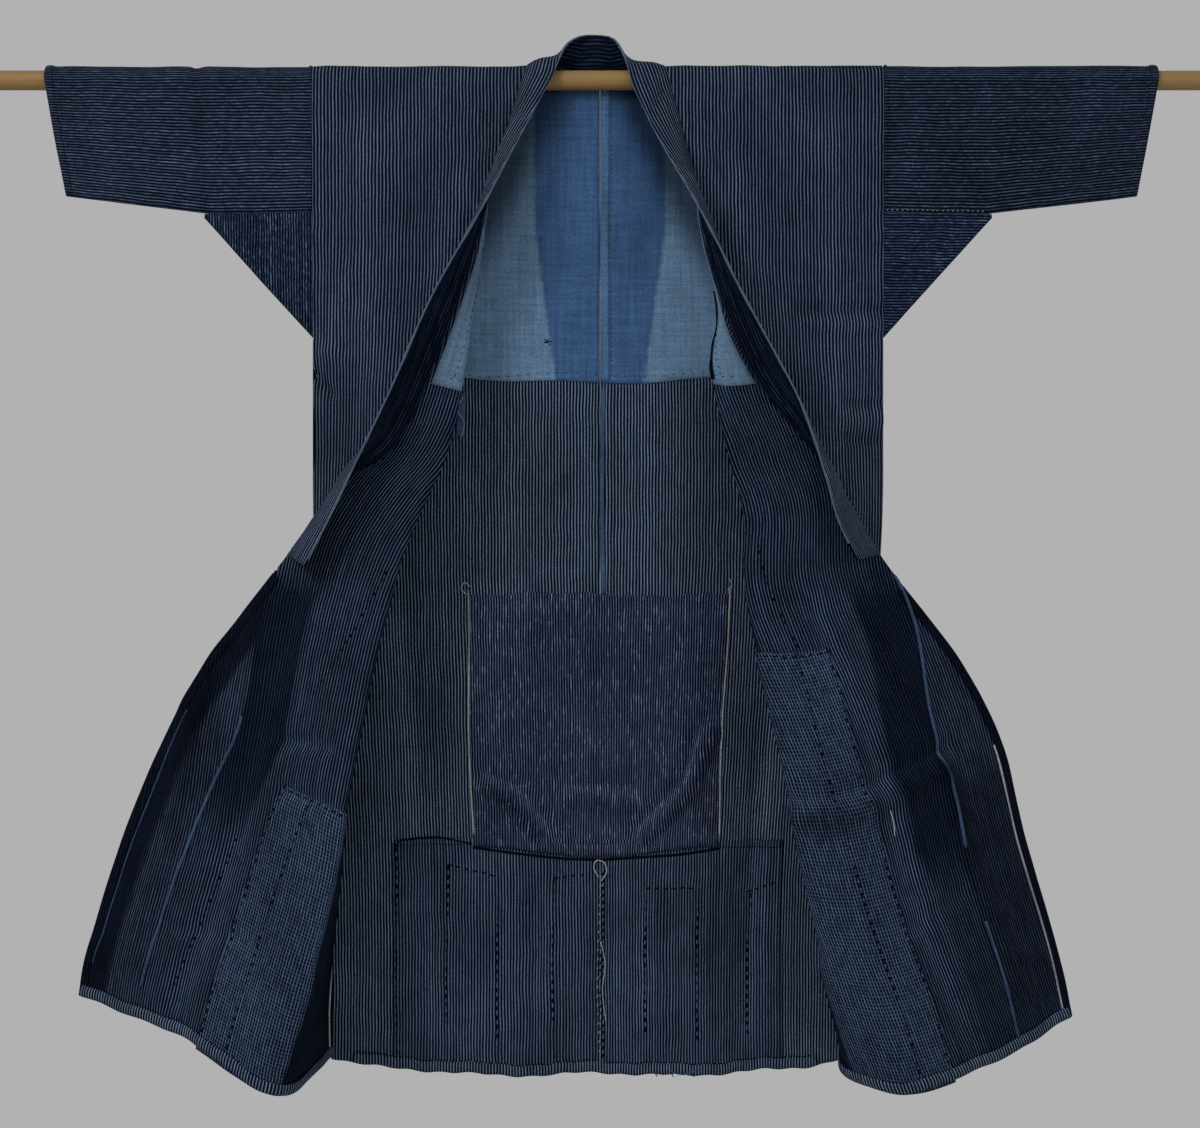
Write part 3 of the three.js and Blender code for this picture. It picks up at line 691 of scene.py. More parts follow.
def plain_cotton(name, base, second, seed=0.0, fade=0.14, edges=None):
    """Thin, well-washed indigo cotton without stripes: a soft chalky blue with thread streaks.
    edges puts the second blue outside a line either side of the centre seam. The Lines attribute
    darkens the colour, which on the yoke lining is painted shade under the collar."""
    material, tree = new_material(name)
    cut = node(tree, "ShaderNodeUVMap", {}, uv_map="Cut")
    streak_space = node(tree, MAPPING, {"Vector": cut, "Scale": (1.0, 0.05, 1.0)})
    slub_space = node(tree, MAPPING, {"Vector": cut, "Scale": (0.07, 1.0, 1.0)})
    streaks = node(tree, NOISE, {"Scale": 260.0, "Detail": 2.0, "Vector": streak_space})
    slubs = node(tree, NOISE, {"Scale": 300.0, "Detail": 3.0, "Vector": slub_space})
    threads = weave(tree, cut)
    if edges:
        axes = node(tree, "ShaderNodeSeparateXYZ", {"Vector": cut}, None)
        line = node(tree, RANGE, {
            "Value": axes.outputs[1], "From Min": 0.17, "From Max": 0.33,
            "To Min": edges[0] * MM, "To Max": edges[1] * MM,
        })
        ragged = node(tree, NOISE, {"Scale": 130.0, "Detail": 2.0, "Vector": cut})
        out = node(tree, MATH, {0: axes.outputs[0]}, operation="ABSOLUTE")
        shifted = node(tree, MATH, {0: ragged, 1: 0.006, 2: out}, operation="MULTIPLY_ADD")
        past = node(tree, MATH, {0: shifted, 1: line}, operation="SUBTRACT")
        mask = node(tree, RANGE, {"Value": past, "From Max": 0.004})
    else:
        mask = node(tree, NOISE, {"Scale": 18.0, "Detail": 3.0, "Vector": cut})
    colour = node(tree, MIX, {"Factor": mask, 6: linear(base), 7: linear(second)}, 2, **BLEND)
    both_ways = node(tree, MATH, {0: streaks, 1: slubs}, operation="ADD")
    all_threads = node(tree, MATH, {0: threads, 1: both_ways}, operation="ADD")
    grain = node(tree, RANGE, {
        "Value": all_threads, "From Min": 1.55, "From Max": 2.45, "To Min": 0.68, "To Max": 1.32,
    })
    lines_and_painted_shade = node(tree, ATTRIBUTE, {}, "Fac", attribute_name="Lines")
    faded = node(tree, MATH, {0: grain, 1: lines_and_painted_shade}, operation="MULTIPLY")
    grained = node(tree, MIX, {"Factor": 1.0, 6: colour, 7: faded}, 2, **TINT)
    finish_material(tree, worn_and_shaded(tree, cut, grained, fade, seed), threads, 0.45, 0.95)
    return material


def cotton_thread(name, colour, second):
    """Spun cotton thread: matt, with fibres that catch the light unevenly along it."""
    material, tree = new_material(name)
    place = node(tree, "ShaderNodeTexCoord", {}, "Object")
    fibres = node(tree, NOISE, {"Scale": 420.0, "Detail": 2.0, "Vector": place})
    mixed = node(tree, MIX, {"Factor": fibres, 6: linear(colour), 7: linear(second)}, 2, **BLEND)
    finish_material(tree, mixed, fibres, 0.4, 0.9)
    return material


def bare_wood(name, base, second):
    """Bare planed softwood pole, unvarnished: long straight grain and a low, dry shine."""
    material, tree = new_material(name)
    place = node(tree, "ShaderNodeTexCoord", {}, "Object")
    grain_space = node(tree, MAPPING, {"Vector": place, "Scale": (0.03, 1.0, 1.0)})
    grain = node(tree, NOISE, {"Scale": 380.0, "Detail": 4.0, "Vector": grain_space})
    patches = node(tree, NOISE, {"Scale": 14.0, "Detail": 2.0, "Vector": place})
    streaks = node(tree, MATH, {0: grain, 1: 0.7}, operation="MULTIPLY")
    mixed = node(tree, MATH, {0: patches, 1: 0.5, 2: streaks}, operation="MULTIPLY_ADD")
    colour = node(tree, MIX, {"Factor": mixed, 6: linear(base), 7: linear(second)}, 2, **BLEND)
    finish_material(tree, colour, grain, 0.25, 0.55, 0.35)
    return material


BODY_OUTER = striped_cotton("handwoven_striped_indigo_outer", "#060f21", "#66738a", 3.5, width=0.31)
BODY_INNER = striped_cotton(
    "handwoven_striped_indigo_inner", "#050f22", "#78899f", 3.25, width=0.33, seed=2.0)
WING_INNER = striped_cotton(
    "handwoven_striped_indigo_unfaded", "#030917", "#506079", 3.2, width=0.32, breaks=0.3,
    seed=4.0, fade=0.3)
STRIP_COTTON = striped_cotton(
    "handwoven_indigo_dark_strip", "#050a16", "#4a5871", 3.2, breaks=0.4, seed=5.0, fade=0.3)
SLEEVE_COTTON = {
    "left": striped_cotton(
        "fine_striped_sleeve_cotton_left", "#060d1c", "#606e89", 3.05, breaks=0.4, break_length=8,
        low=0.6, flecks=0.3, seed=6.0),
    "right": striped_cotton(
        "fine_striped_sleeve_cotton_right", "#050b19", "#596883", 3.1, breaks=0.4, break_length=7,
        low=0.55, flecks=0.35, seed=7.0),
}
GUSSET_COTTON = {
    "left": striped_cotton(
        "gusset_cotton_left", "#050d20", "#7688a6", 2.8, width=0.3, low=0.4, breaks=0.5,
        break_length=6, flecks=0.5, seed=8.0, turned=True),
    "right": striped_cotton(
        "gusset_cotton_right", "#060d20", "#627393", 3.0, low=0.5, breaks=0.5, break_length=6,
        flecks=0.45, seed=9.0, slant=-1.12),
}
LINING_COTTON = plain_cotton(
    "washed_indigo_lining_cotton", "#3f5d85", "#64819f", edges=(68, 46), fade=0.2)
LINING_SEAM_COTTON = plain_cotton(
    "washed_indigo_lining_seam", "#456389", "#54708f", seed=3.0, fade=0.25)
FRONT_LINING_COTTON = plain_cotton(
    "washed_pale_indigo_lining", "#556f8a", "#637b93", seed=1.0, fade=0.2)
CENTRE_PATCH_COTTON = striped_cotton(
    "broken_stripe_patch_cotton", "#040a1f", "#8492b6", 2.8, width=0.33, low=0.75, breaks=0.3,
    flecks=0.46, break_length=15, seed=10.0)
LOWER_PATCH_COTTON = striped_cotton(
    "striped_patch_cotton_dark", "#050c1c", "#64748f", 3.3, low=0.66, seed=11.0, fade=0.25)
CHECK_COTTON = striped_cotton(
    "small_check_patch_cotton", "#030817", "#5d7190", 3.0, width=0.3, breaks=0.45,
    break_length=12, seed=12.0, checks=0.34)
COLLAR_COTTON = striped_cotton(
    "collar_cotton_outer", "#060f21", "#687589", 3.3, width=0.31, seed=13.0, wander=0.15)
# The collar's inner face is a darker copy of the collar cotton: its darkness is painted shade of the
# collar's shaded inside.
COLLAR_INNER_SHADED = striped_cotton(
    "collar_cotton_inner_painted_shade", "#060c18", "#2a3750", 4.2, low=0.2, breaks=0.8, seed=14.0, fade=0.3,
    wander=0.3)
FADED_FOLD = plain_cotton("faded_indigo_fold", "#26364f", "#4a5f80", seed=15.0, fade=0.3)
PALE_SELVAGE = plain_cotton("undyed_cotton_selvage", "#7d8286", "#a3a6a8", seed=16.0, fade=0.3)
DARK_THREAD = cotton_thread("indigo_sewing_thread", "#04070d", "#0b101b")
BLUE_THREAD = cotton_thread("faded_blue_sewing_thread", "#2c405f", "#56709a")
COLLAR_EDGE_THREAD = cotton_thread("worn_collar_edge_cotton", "#334158", "#66768d")
PALE_THREAD = cotton_thread("undyed_sewing_thread", "#8b9097", "#c2c3c2")
ROD_WOOD = bare_wood("bare_softwood_pole", "#775730", "#9d7f4d")


# ---- Making pieces ----
def place_mesh(name, build, slot, materials):
    mesh = bpy.data.meshes.new(name)
    build.to_mesh(mesh)
    build.free()
    for material in materials:
        mesh.materials.append(material)
    piece = bpy.data.objects.new(name, mesh)
    bpy.context.scene.collection.objects.link(piece)
    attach(piece, "root")
    return piece


def cloth_piece(name, slot, panel, outline, materials, columns, rows, thickness=CLOTH, lift=0.0,
                lines=None, solid=None):
    """A thin shell on a panel. outline turns shares across and down into flat places and a lift,
    lines says how strongly the woven stripes are left at each flat place and how far plain
    cloth is darkened there, on some pieces as painted shade, and solid names the plain solid
    that the piece replaces."""
    build = bmesh.new()
    cut = build.loops.layers.uv.new("Cut")
    ridge = build.verts.layers.float.new("Ridge")
    stripes = build.verts.layers.float.new("Lines")
    bmesh.ops.create_grid(build, x_segments=columns, y_segments=rows, size=0.5)
    build.verts.ensure_lookup_table()
    shares = np.array([vert.co[:2] for vert in build.verts]) + 0.5
    across, down, *raised = outline(shares[:, 0], 1 - shares[:, 1])
    places, normals, heights = panel.at(across, down, lift + (raised[0] if raised else 0))
    lines_and_painted_shade = lines(across, down) if lines else np.ones(len(across))
    for index, vert in enumerate(build.verts):
        vert.co = Vector(places[index]) * MM
        vert[ridge] = heights[index]
        vert[stripes] = lines_and_painted_shade[index]
    area = 0.0
    for face in build.faces:
        face.smooth = True
        corners = [Vector((across[vert.index], down[vert.index])) * MM for vert in face.verts]
        for loop, corner in zip(face.loops, corners):
            loop[cut].uv = corner
        area += abs((corners[2] - corners[0]).cross(corners[3] - corners[1])) / 2
    build.normal_update()
    facing = sum(face.normal.dot(Vector(normals[face.verts[0].index])) for face in build.faces)
    if facing < 0:
        bmesh.ops.reverse_faces(build, faces=build.faces)
    piece = place_mesh(name, build, slot, materials)
    shell = piece.modifiers.new("cloth_thickness", "SOLIDIFY")
    shell.thickness = thickness * MM
    shell.offset = 0
    shell.material_offset = len(materials) - 1
    if solid:
        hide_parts(solid)
    spread = tuple(float(np.ptp(flat)) * MM for flat in (across, down))
    return piece, spread, area


def declare(made):
    piece, spread, area = made
    flat_area = min(area, spread[0] * spread[1])


def on_line(line, along, places):
    """Flat places at distances along a line of flat places."""
    return np.interp(places, along, line[:, 0]), np.interp(places, along, line[:, 1])


def band(line, width, height, base):
    """A narrow strip along a line of flat places, domed by its height and lifted by its base."""
    along = lengths_along(line)

    def outline(side, share):
        places = share * along[-1]
        x, y = on_line(line, along, places)
        ahead, behind = on_line(line, along, places + 4), on_line(line, along, places - 4)
        step = np.hypot(ahead[0] - behind[0], ahead[1] - behind[1]) + 1e-9
        off = (side - 0.5) * width / step
        dome = np.sqrt(np.clip(1 - (2 * side - 1) ** 2, 0, 1)) * height
        return x + off * (ahead[1] - behind[1]), y - off * (ahead[0] - behind[0]), base + dome
    return outline, along[-1]


def band_piece(name, slot, panel, line, width, height, base, material, faded=1.0):
    """A raised strip that stands away from the face its base is on. faded says how strongly its
    woven stripes are left."""
    outline, length = band(np.asarray(line, float), width, math.copysign(height, base), base)

    def lines(across, down):
        return np.full(len(across), faded)

    rows = max(int(length / 5), 4)
    return cloth_piece(name, slot, panel, outline, [material], 5, rows, 0.5, lines=lines)[0]


def stitches(name, slot, panel, lines, lift, material, length, gap, thick, turned=0.0):
    """Running stitches along lines of flat places, each a small stretched bead of thread."""
    build = bmesh.new()
    count = 0
    for line in lines:
        line = np.asarray(line, float)
        along = lengths_along(line)
        places = np.arange(length / 2, along[-1], length + gap)
        starts, nexts = on_line(line, along, places), on_line(line, along, places + 1)
        for x, y, next_x, next_y in zip(*starts, *nexts):
            count += 1
            wander = noise.noise(Vector((count * 1.7, 3.3, 0.5)))
            centre, normal, _ = panel.at(x, y + wander, lift)
            beside, _, _ = panel.at(next_x, next_y + wander, lift)
            ahead = Vector(beside - centre)
            if ahead.length < 1e-6:
                continue
            facing = Vector(normal).normalized()
            side = ahead.normalized()
            side.rotate(Matrix.Rotation(turned + 0.25 * wander, 3, facing))
            other = facing.cross(side).normalized()
            size = length * (1 + 0.35 * wander)
            axes = Matrix((side * size / 2, other * thick / 2, facing * thick / 2))
            basis = Matrix.Scale(MM, 4) @ axes.transposed().to_4x4()
            bmesh.ops.create_icosphere(
                build, subdivisions=1, radius=1.0,
                matrix=Matrix.Translation(Vector(centre) * MM) @ basis)
    for face in build.faces:
        face.smooth = True
    bmesh.ops.recalc_face_normals(build, faces=build.faces)
    return place_mesh(name, build, slot, [material])


def loose_thread(name, slot, points, thick, material, fineness=6):
    """A thread as a small round tube through its points."""
    curve = bpy.data.curves.new(name, "CURVE")
    curve.dimensions = "3D"
    curve.bevel_depth = thick * MM / 2
    curve.bevel_resolution = 1
    curve.use_fill_caps = True
    route = catmull(points, fineness * len(points))
    spline = curve.splines.new("POLY")
    spline.points.add(len(route) - 1)
    for point, place in zip(spline.points, route):
        point.co = (*[float(value) * MM for value in place], 1)
    holder = bpy.data.objects.new(name, curve)
    bpy.context.scene.collection.objects.link(holder)
    bpy.context.view_layer.update()
    tube = holder.evaluated_get(bpy.context.evaluated_depsgraph_get())
    mesh = bpy.data.meshes.new_from_object(tube)
    bpy.data.objects.remove(holder)
    build = bmesh.new()
    build.from_mesh(mesh)
    for face in build.faces:
        face.smooth = True
    return place_mesh(name, build, slot, [material])


# ---- Rod ----
build = bmesh.new()
rod_length = ROD_HIGH.x - ROD_LOW.x
bmesh.ops.create_cone(
    build, cap_ends=True, segments=64, radius1=ROD_RADIUS * MM, radius2=ROD_RADIUS * MM,
    depth=rod_length, matrix=Matrix.Rotation(math.pi / 2, 4, "Y"))
rims = [edge for edge in build.edges if abs(abs(edge.verts[0].co.x) - rod_length / 2) < 1e-5
        and abs(edge.verts[0].co.x - edge.verts[1].co.x) < 1e-5]
bmesh.ops.bevel(
    build, geom=rims, offset=1.2 * MM, offset_type="OFFSET", affect="EDGES", segments=3,
    profile=0.5, material=-1)
for face in build.faces:
    face.smooth = len(face.verts) == 4
rod = place_mesh("bare_pole", build, "rod_wood", [ROD_WOOD])
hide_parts("rod")


# ---- Back ----
def below(*places):
    """Flat places, from distances across and drops below the rod's axis."""
    return [(across, QUARTER_TURN + drop) for across, drop in places]


def hem_down(across):
    half_width = np.where(across < 0, LEFT["shoulder"], RIGHT["shoulder"])
    ragged = 1.2 * np.sin(across / 17.0) + 0.8 * np.sin(across / 5.3)
    return QUARTER_TURN + BACK_LENGTH - HEM_LIFT * (np.abs(across) / half_width) ** 4 + ragged - 2


def back_outline(half):
    def outline(side, share):
        across = half["sign"] * (0.15 + side * (half["shoulder"] - 0.15))
        top = np.maximum(neck_cut(np.abs(across), half["neck"]), 0.2)
        return across, top + share * (hem_down(across) - top)
    return outline


def yoke_outline(half):
    def outline(side, share):
        across = half["sign"] * (0.4 + side * (half["shoulder"] - 26))
        top = neck_cut(np.abs(across), half["neck"]) + 1.5
        end = QUARTER_TURN + YOKE_DROP - 3 - 0.000275 * across ** 2 + 1.6 * np.sin(across / 23)
        wavy = 3 * np.sin(across / 12) * (np.abs(across) < 64) * (1 - share)
        return across, top + wavy + share * (end - top)
    return outline


def painted_collar_shade(half):
    """Painted shade on the lining: its colour is darkened behind the collar's edge and along its top,
    where the collar shades it.
    """
    outs = [point[0] for point in half["collar"]]
    drops = [point[2] for point in half["collar"]]

    def lines(across, down):
        opening = np.interp(down - QUARTER_TURN, drops, outs)
        near = smooth((np.abs(across) - opening + 42) / 42)
        upper = 1 - smooth((down - QUARTER_TURN - 130) / 160)
        top = 1 - smooth((down - QUARTER_TURN) / 12)
        return 1 - 0.72 * near * upper - 0.25 * top * (1 - near)
    return lines


def centre_patch_outline(side, share):
    """The patch hangs loose of the back along its lower edge."""
    across = CENTRE_PATCH["left"] + side * CENTRE_PATCH["width"]
    sag = CENTRE_PATCH["sag"] * smooth(1 - np.abs(across + 2) / 130)
    upper = CENTRE_PATCH["top"] + 2.0 * np.sin(across / 31.0) + 1.2 * np.sin(across / 9.0)
    lower = CENTRE_PATCH["bottom"] + sag
    loose = INNER * 2.6 * smooth((share - 0.93) / 0.07)
    return across, QUARTER_TURN + upper + share * (lower - upper), loose


def lower_patch_outline(side, share):
    across = LOWER_PATCH["left"] + side * LOWER_PATCH["width"]
    top = QUARTER_TURN + LOWER_PATCH["top"] + 4 * np.sin(across / 60)
    return across * (1 + 0.012 * share), top + share * (hem_down(across) - 1.5 - top)


def down_line(across, start, end, sway=0.0):
    """A line of flat places down the back at one distance across, gently swaying."""
    downs = np.linspace(QUARTER_TURN + start, QUARTER_TURN + end, 12)
    return np.stack([across + sway * np.sin(downs / 40.0), downs], axis=1)


def hem_line(low, high, above):
    across = np.linspace(low, high, 80)
    return np.stack([across, hem_down(across) - above], axis=1)


back_pieces = [cloth_piece(
    f"back_cloth_{name}", "body_cotton", back_cloth, back_outline(half), [BODY_OUTER, BODY_INNER],
    58, 206, solid=f"back_{name}") for name, half in HALVES.items()]
for name, half in HALVES.items():
    yoke = cloth_piece(
        f"yoke_lining_{name}", "lining_cotton", back_cloth, yoke_outline(half), [LINING_COTTON],
        54, 66, THIN_CLOTH, PATCH_LIFT, painted_collar_shade(half), f"back_lining_{name}")
    declare(yoke)
centre = cloth_piece(
    "centre_patch_cloth", "patch_cotton", back_cloth, centre_patch_outline, [CENTRE_PATCH_COTTON],
    56, 54, THIN_CLOTH, PATCH_LIFT + INNER * 0.2, solid="centre_patch")
lower = cloth_piece(
    "lower_patch_cloth", "patch_cotton", back_cloth, lower_patch_outline, [LOWER_PATCH_COTTON],
    88, 50, THIN_CLOTH, PATCH_LIFT, solid="lower_back_patch")

lining_edge = np.linspace(-215, 215, 40)
lining_edge_down = QUARTER_TURN + 299 + 2 * np.sin(np.linspace(-9, 9, 40))
# A raised band has its name, slot, line, width, height, the face it lies on and its material.
# Stitches have their name, slot, lines, lift and thread, then each one's length, gap and
# thickness, and any angle to its line.
back_extras = [make(name, slot, back_cloth, *rest) for make, name, slot, *rest in (
    (band_piece, "centre_back_seam_ridge", "body_cotton", down_line(3, 312, 524, 0.8), 4.6, 1.6,
     ON_INNER, FADED_FOLD),
    (band_piece, "centre_back_lining_seam", "lining_cotton", down_line(5, 6, 305, 0.5), 9, 0.8,
     ON_PATCH, LINING_SEAM_COTTON),
    (stitches, "lining_centre_stitches", "lining_cotton", [down_line(11.5, 10, 304, 0.6)],
     ON_PATCH, DARK_THREAD, 3.2, 1.6, 0.7),
    (stitches, "lining_edge_stitches", "lining_cotton",
     [np.stack([lining_edge, lining_edge_down], axis=1)], ON_PATCH, DARK_THREAD, 2.6, 7.4, 1.0),
    (band_piece, "centre_patch_selvage_left", "patch_cotton", down_line(-137.5, 520, 778, 1.6), 1.5,
     0.7, ON_PATCH, PALE_SELVAGE),
    (band_piece, "centre_patch_selvage_right", "patch_cotton", down_line(134.5, 518, 782, 1.4), 1.5,
     0.7, ON_PATCH, PALE_SELVAGE),
    (band_piece, "lower_patch_turned_edge", "patch_cotton",
     below((-221, 778), (-100, 776), (0, 779), (208, 780)), 7, 1.0, ON_PATCH, LOWER_PATCH_COTTON),
    (stitches, "centre_patch_bottom_stitches", "patch_cotton",
     [below((-135, 779), (-41, 791), (0, 793), (92, 786), (134, 781))], ON_PATCH - 0.3,
     DARK_THREAD, 2.6, 3.2, 0.8),
    # Two strips in dark thread colour, below the centre patch and along the top left of the lower patch,
    # are painted shadow of the patches' loose edges.
    (band_piece, "centre_patch_lower_shadow_fold", "patch_cotton",
     below((-136, 783), (-41, 795), (0, 797), (92, 790), (136, 784)), 2.6, 0.3, ON_PATCH,
     DARK_THREAD),
    (band_piece, "lower_patch_dark_fold", "patch_cotton",
     below((-222, 782), (-218, 776), (-175, 773), (-138, 779)), 2.2, 0.5, ON_PATCH - 0.6,
     DARK_THREAD),
    (stitches, "lower_patch_stitches", "patch_cotton", [
        down_line(-166, 801, 968, 1.5), below((-166, 801), (-112, 812)),
        down_line(-111, 812, 978, 1.5), down_line(-51, 815, 999, 1.0),
        down_line(54, 825, 978, 1.5), below((54, 825), (112, 824)),
        down_line(113, 824, 978, 1.5), down_line(173, 830, 978, 1.5),
        below((170, 830), (204, 819)), below((-51, 815), (-18, 812)),
        down_line(-222, 782, 1000, 1.0),
    ], ON_PATCH, DARK_THREAD, 6.4, 3.0, 2.0),
    (band_piece, "lower_centre_seam_ridge", "patch_cotton", down_line(2, 798, LAST_DROP, 1.2), 8,
     1.4, ON_PATCH, BODY_INNER),
    (stitches, "lower_centre_cross_stitches", "patch_cotton",
     [down_line(3, 806, LAST_DROP - 12, 1.2)], ON_PATCH - 1.4, DARK_THREAD, 8.5, -1.0, 2.4, 0.5),
    (stitches, "lower_centre_pale_stitches", "patch_cotton",
     [down_line(-1, 812, LAST_DROP - 14, 2.0)], ON_PATCH - 1.6, PALE_THREAD, 4.4, 5.0, 0.8, 0.5),
    (band_piece, "back_hem_band", "patch_cotton", hem_line(-268, 252, 6), 11, 1.3, ON_PATCH,
     BODY_INNER),
    (stitches, "back_hem_stitches", "patch_cotton", [hem_line(-264, 248, 12.5)], ON_PATCH - 0.2,
     DARK_THREAD, 4.0, 1.6, 1.2),
    (stitches, "lining_darn", "lining_cotton", [
        below((-57, 262), (-51, 268)), below((-52, 262), (-57, 268)), below((-58, 266), (-50, 265)),
    ], ON_PATCH - 0.3, DARK_THREAD, 3.0, 0.2, 1.4),
    (band_piece, "frayed_scrap", "body_cotton", down_line(-143, 318, 362, 1.5), 9, 0.9, ON_INNER,
     FADED_FOLD),
)]

# Each: its name, slot, thickness and material, and its places across, down and off the back.
for name, slot, thick, material, *places in (
    ("centre_thread_loop", "patch_cotton", 1.1, PALE_THREAD,
     (2, 818, 4), (8, 808, 6), (5, 799, 6), (-4, 797, 6), (-7, 804, 5), (-2, 814, 4)),
    ("lower_seam_thread", "patch_cotton", 0.8, PALE_THREAD,
     (1, 880, 4), (6, 902, 6), (3, 930, 5), (7, 962, 4)),
    ("patch_corner_thread", "patch_cotton", 0.8, PALE_THREAD,
     (-138, 524, 3), (-143, 519, 5), (-140, 512, 5), (-134, 516, 3)),
    ("patch_corner_thread_right", "patch_cotton", 0.8, PALE_THREAD,
     (133, 520, 3), (137, 514, 5), (134, 508, 4)),
    ("scrap_thread", "body_cotton", 0.7, PALE_THREAD,
     (-140, 322, 3), (-146, 334, 5), (-139, 348, 5), (-143, 366, 3)),
    ("hem_fray_thread", "patch_cotton", 0.9, BLUE_THREAD,
     (74, 1006, 3), (92, 1014, 5), (112, 1010, 4)),
    *[(f"hem_fray_end_{index + 1}", "patch_cotton", 1.0, DARK_THREAD, (across, 1008, 2),
       (across + 3, 1014, 3), (across + 5, 1017 - 2 * (index % 2), 3))
      for index, across in enumerate((62, 70, 81, 93, 104, 118))],
):
    points = [back_cloth.at(across, QUARTER_TURN + drop, INNER * off)[0] for across, drop, off in places]
    back_extras.append(loose_thread(name, slot, points, thick, material))

for made in back_pieces:
    declare(made)
declare(centre)
declare(lower)


# ---- Fronts, with their strips, linings and checked patches ----
def front_down(share, start=0.2, end=FRONT_END - 0.5):
    return start + share * (end - start)


def waved(across, down):
    """The hem rises and falls a little along its length."""
    wave = 1 + 0.7 * np.sin(across / 27.0) + 0.3 * np.sin(across / 9.0)
    return across, down - HEM_WAVE * wave * smooth((down - FRONT_END) / HEM_WAVE_REACH + 1)


def front_outline(panel):
    def outline(side, share):
        down = front_down(share)
        return waved(side * (panel.width(down) - np.where(down > STRIP_TOP, strip_width(down), 0)), down)
    return outline


def strip_outline(panel):
    def outline(side, share):
        down = front_down(share, STRIP_TOP)
        return waved(panel.width(down) - (1 - side) * np.maximum(strip_width(down), 3), down)
    return outline


def front_lining_outline(panel):
    def outline(side, share):
        down = front_down(share, 2.0, LINING_END)
        edge = panel.width(down) - 4
        return edge / 7 + side * edge * 6 / 7, down + 2.5 * np.sin(side * 9.0) * share
    return outline


def checked_sides(panel, name, down):
    """The patch runs from beside the fold to a line that comes nearer to it towards the hem."""
    cloth = panel.width(down) - strip_width(down)
    lowering = smooth((down - QUARTER_TURN) / SIDE_LENGTH)
    end = {"left": 10.9 - 0.6 * lowering, "right": 9.9}[name] / SOLID_SPANS
    fold = np.interp(down, panel.down, panel.folds)
    return np.maximum(cloth * CHECKED_START, fold - 5), cloth * end


def checked_outline(panel, name):
    def outline(side, share):
        down = front_down(share, QUARTER_TURN + CHECKED_TOPS[name] * SIDE_LENGTH, FRONT_END - 2)
        low, high = checked_sides(panel, name, down)
        return low + side * (high - low), down + 5 * (side - 0.5) * (1 - share)
    return outline


def wing_line(panel, *places, steps=24):
    """A line on the turned-back part, through shares from its fold to its edge and drops."""
    places = np.asarray(places, float)
    stages = np.linspace(0, 1, steps) * (len(places) - 1)
    shares = np.interp(stages, np.arange(len(places)), places[:, 0])
    down = QUARTER_TURN + np.interp(stages, np.arange(len(places)), places[:, 1])
    return np.stack([on_turned_part(panel, shares, down), down], axis=1)


def edge_line(panel, inside, start, end):
    """A line at one distance inside the front's free edge."""
    down = QUARTER_TURN + np.linspace(start, end, LINE_STEPS)
    return np.stack([panel.width(down) - inside, down], axis=1)


def strip_seam_line(panel, start, end):
    down = QUARTER_TURN + np.linspace(start, end, LINE_STEPS)
    return np.stack([panel.width(down) - strip_width(down), down], axis=1)


def level_line(panel, first, last, down):
    across = float(panel.width(down)) * np.linspace(first, last, 80)
    return np.stack(waved(across, down), axis=1)


def wing_lines(panel, name):
    """A dark, almost plain band lies beside the strip's seam on the turned-back part. Lower down,
    between the side seam and the fold, the stripes are taken out as painted shade.
    """
    def lines(across, down):
        drop = down - QUARTER_TURN
        inside = panel.width(down) - strip_width(down) - across
        turned = smooth((across - np.interp(down, panel.down, panel.folds)) / 10)
        if name == "left":
            ends = (1 - smooth((drop - 750) / 80)) * smooth((drop - 520) / 40)
            reach = smooth((54 - inside) / 6) * ends
        else:
            lower = smooth((drop - 780) / 60)
            ends = smooth((drop - 500) / 60) * (1 - 0.5 * lower)
            reach = smooth((60 - 14 * lower - inside) / 6) * ends
        # Painted shade: the stripes fade out between the side seam and the fold from drop 500 down.
        painted_side_shade = (1 - turned) * smooth((drop - 500) / 80)
        return 1 - 0.78 * reach * turned - 0.8 * painted_side_shade
    return lines


def strip_lines(panel, name):
    """The strip's stripes show beside its seam, and hardly at all near its free edge."""
    def lines(across, down):
        if name == "left":
            return 1 - 0.88 * smooth((38 - panel.width(down) + across) / 6)
        return 1 - 0.5 * smooth((down - QUARTER_TURN - 700) / 60)
    return lines


def checked_patch_seams(panel, name):
    """The patch's far edge, a line inside it, and its top."""
    top = QUARTER_TURN + CHECKED_TOPS[name] * SIDE_LENGTH
    down = np.linspace(top, FRONT_END - 12, 50)
    near, far = checked_sides(panel, name, down)
    along_top = np.linspace(0.02, 0.98, 30)
    top_line = np.stack([near[0] + along_top * (far[0] - near[0]), top + 2 + 4 * along_top], axis=1)
    return [np.stack([far - 3, down], axis=1), np.stack([far - 36, down], axis=1), top_line]


def shared_front_extras(name, panel):
    """Bands and stitches of both fronts, given as those of the back are."""
    return [
        (band_piece, "strip_seam_ridge", "body_cotton", strip_seam_line(panel, *RIDGE_DROPS[name]),
         3.2, 1.8, ON_INNER, FADED_FOLD),
        (band_piece, "strip_edge_fold", "body_cotton", edge_line(panel, 5.5, 545, 992), 10, 0.9,
         ON_INNER, STRIP_COTTON, 0.1),
        (band_piece, "front_hem_band", "body_cotton", level_line(panel, 0.01, 0.99, FRONT_END - 6.5),
         11, 1.6, ON_PATCH, BODY_INNER),
        (stitches, "front_hem_stitches", "body_cotton",
         [level_line(panel, 0.01, 0.99, FRONT_END - 13)], ON_PATCH, DARK_THREAD, 4.0, 1.8, 1.2),
        (stitches, "checked_patch_stitches", "check_cotton", checked_patch_seams(panel, name),
         ON_PATCH, DARK_THREAD, 6.2, 2.6, 1.9),
        (stitches, "lining_stitches", "lining_cotton",
         [level_line(panel, 0.36, 0.93, QUARTER_TURN + 302)], ON_PATCH, DARK_THREAD, 2.8, 6.0, 1.0),
    ]


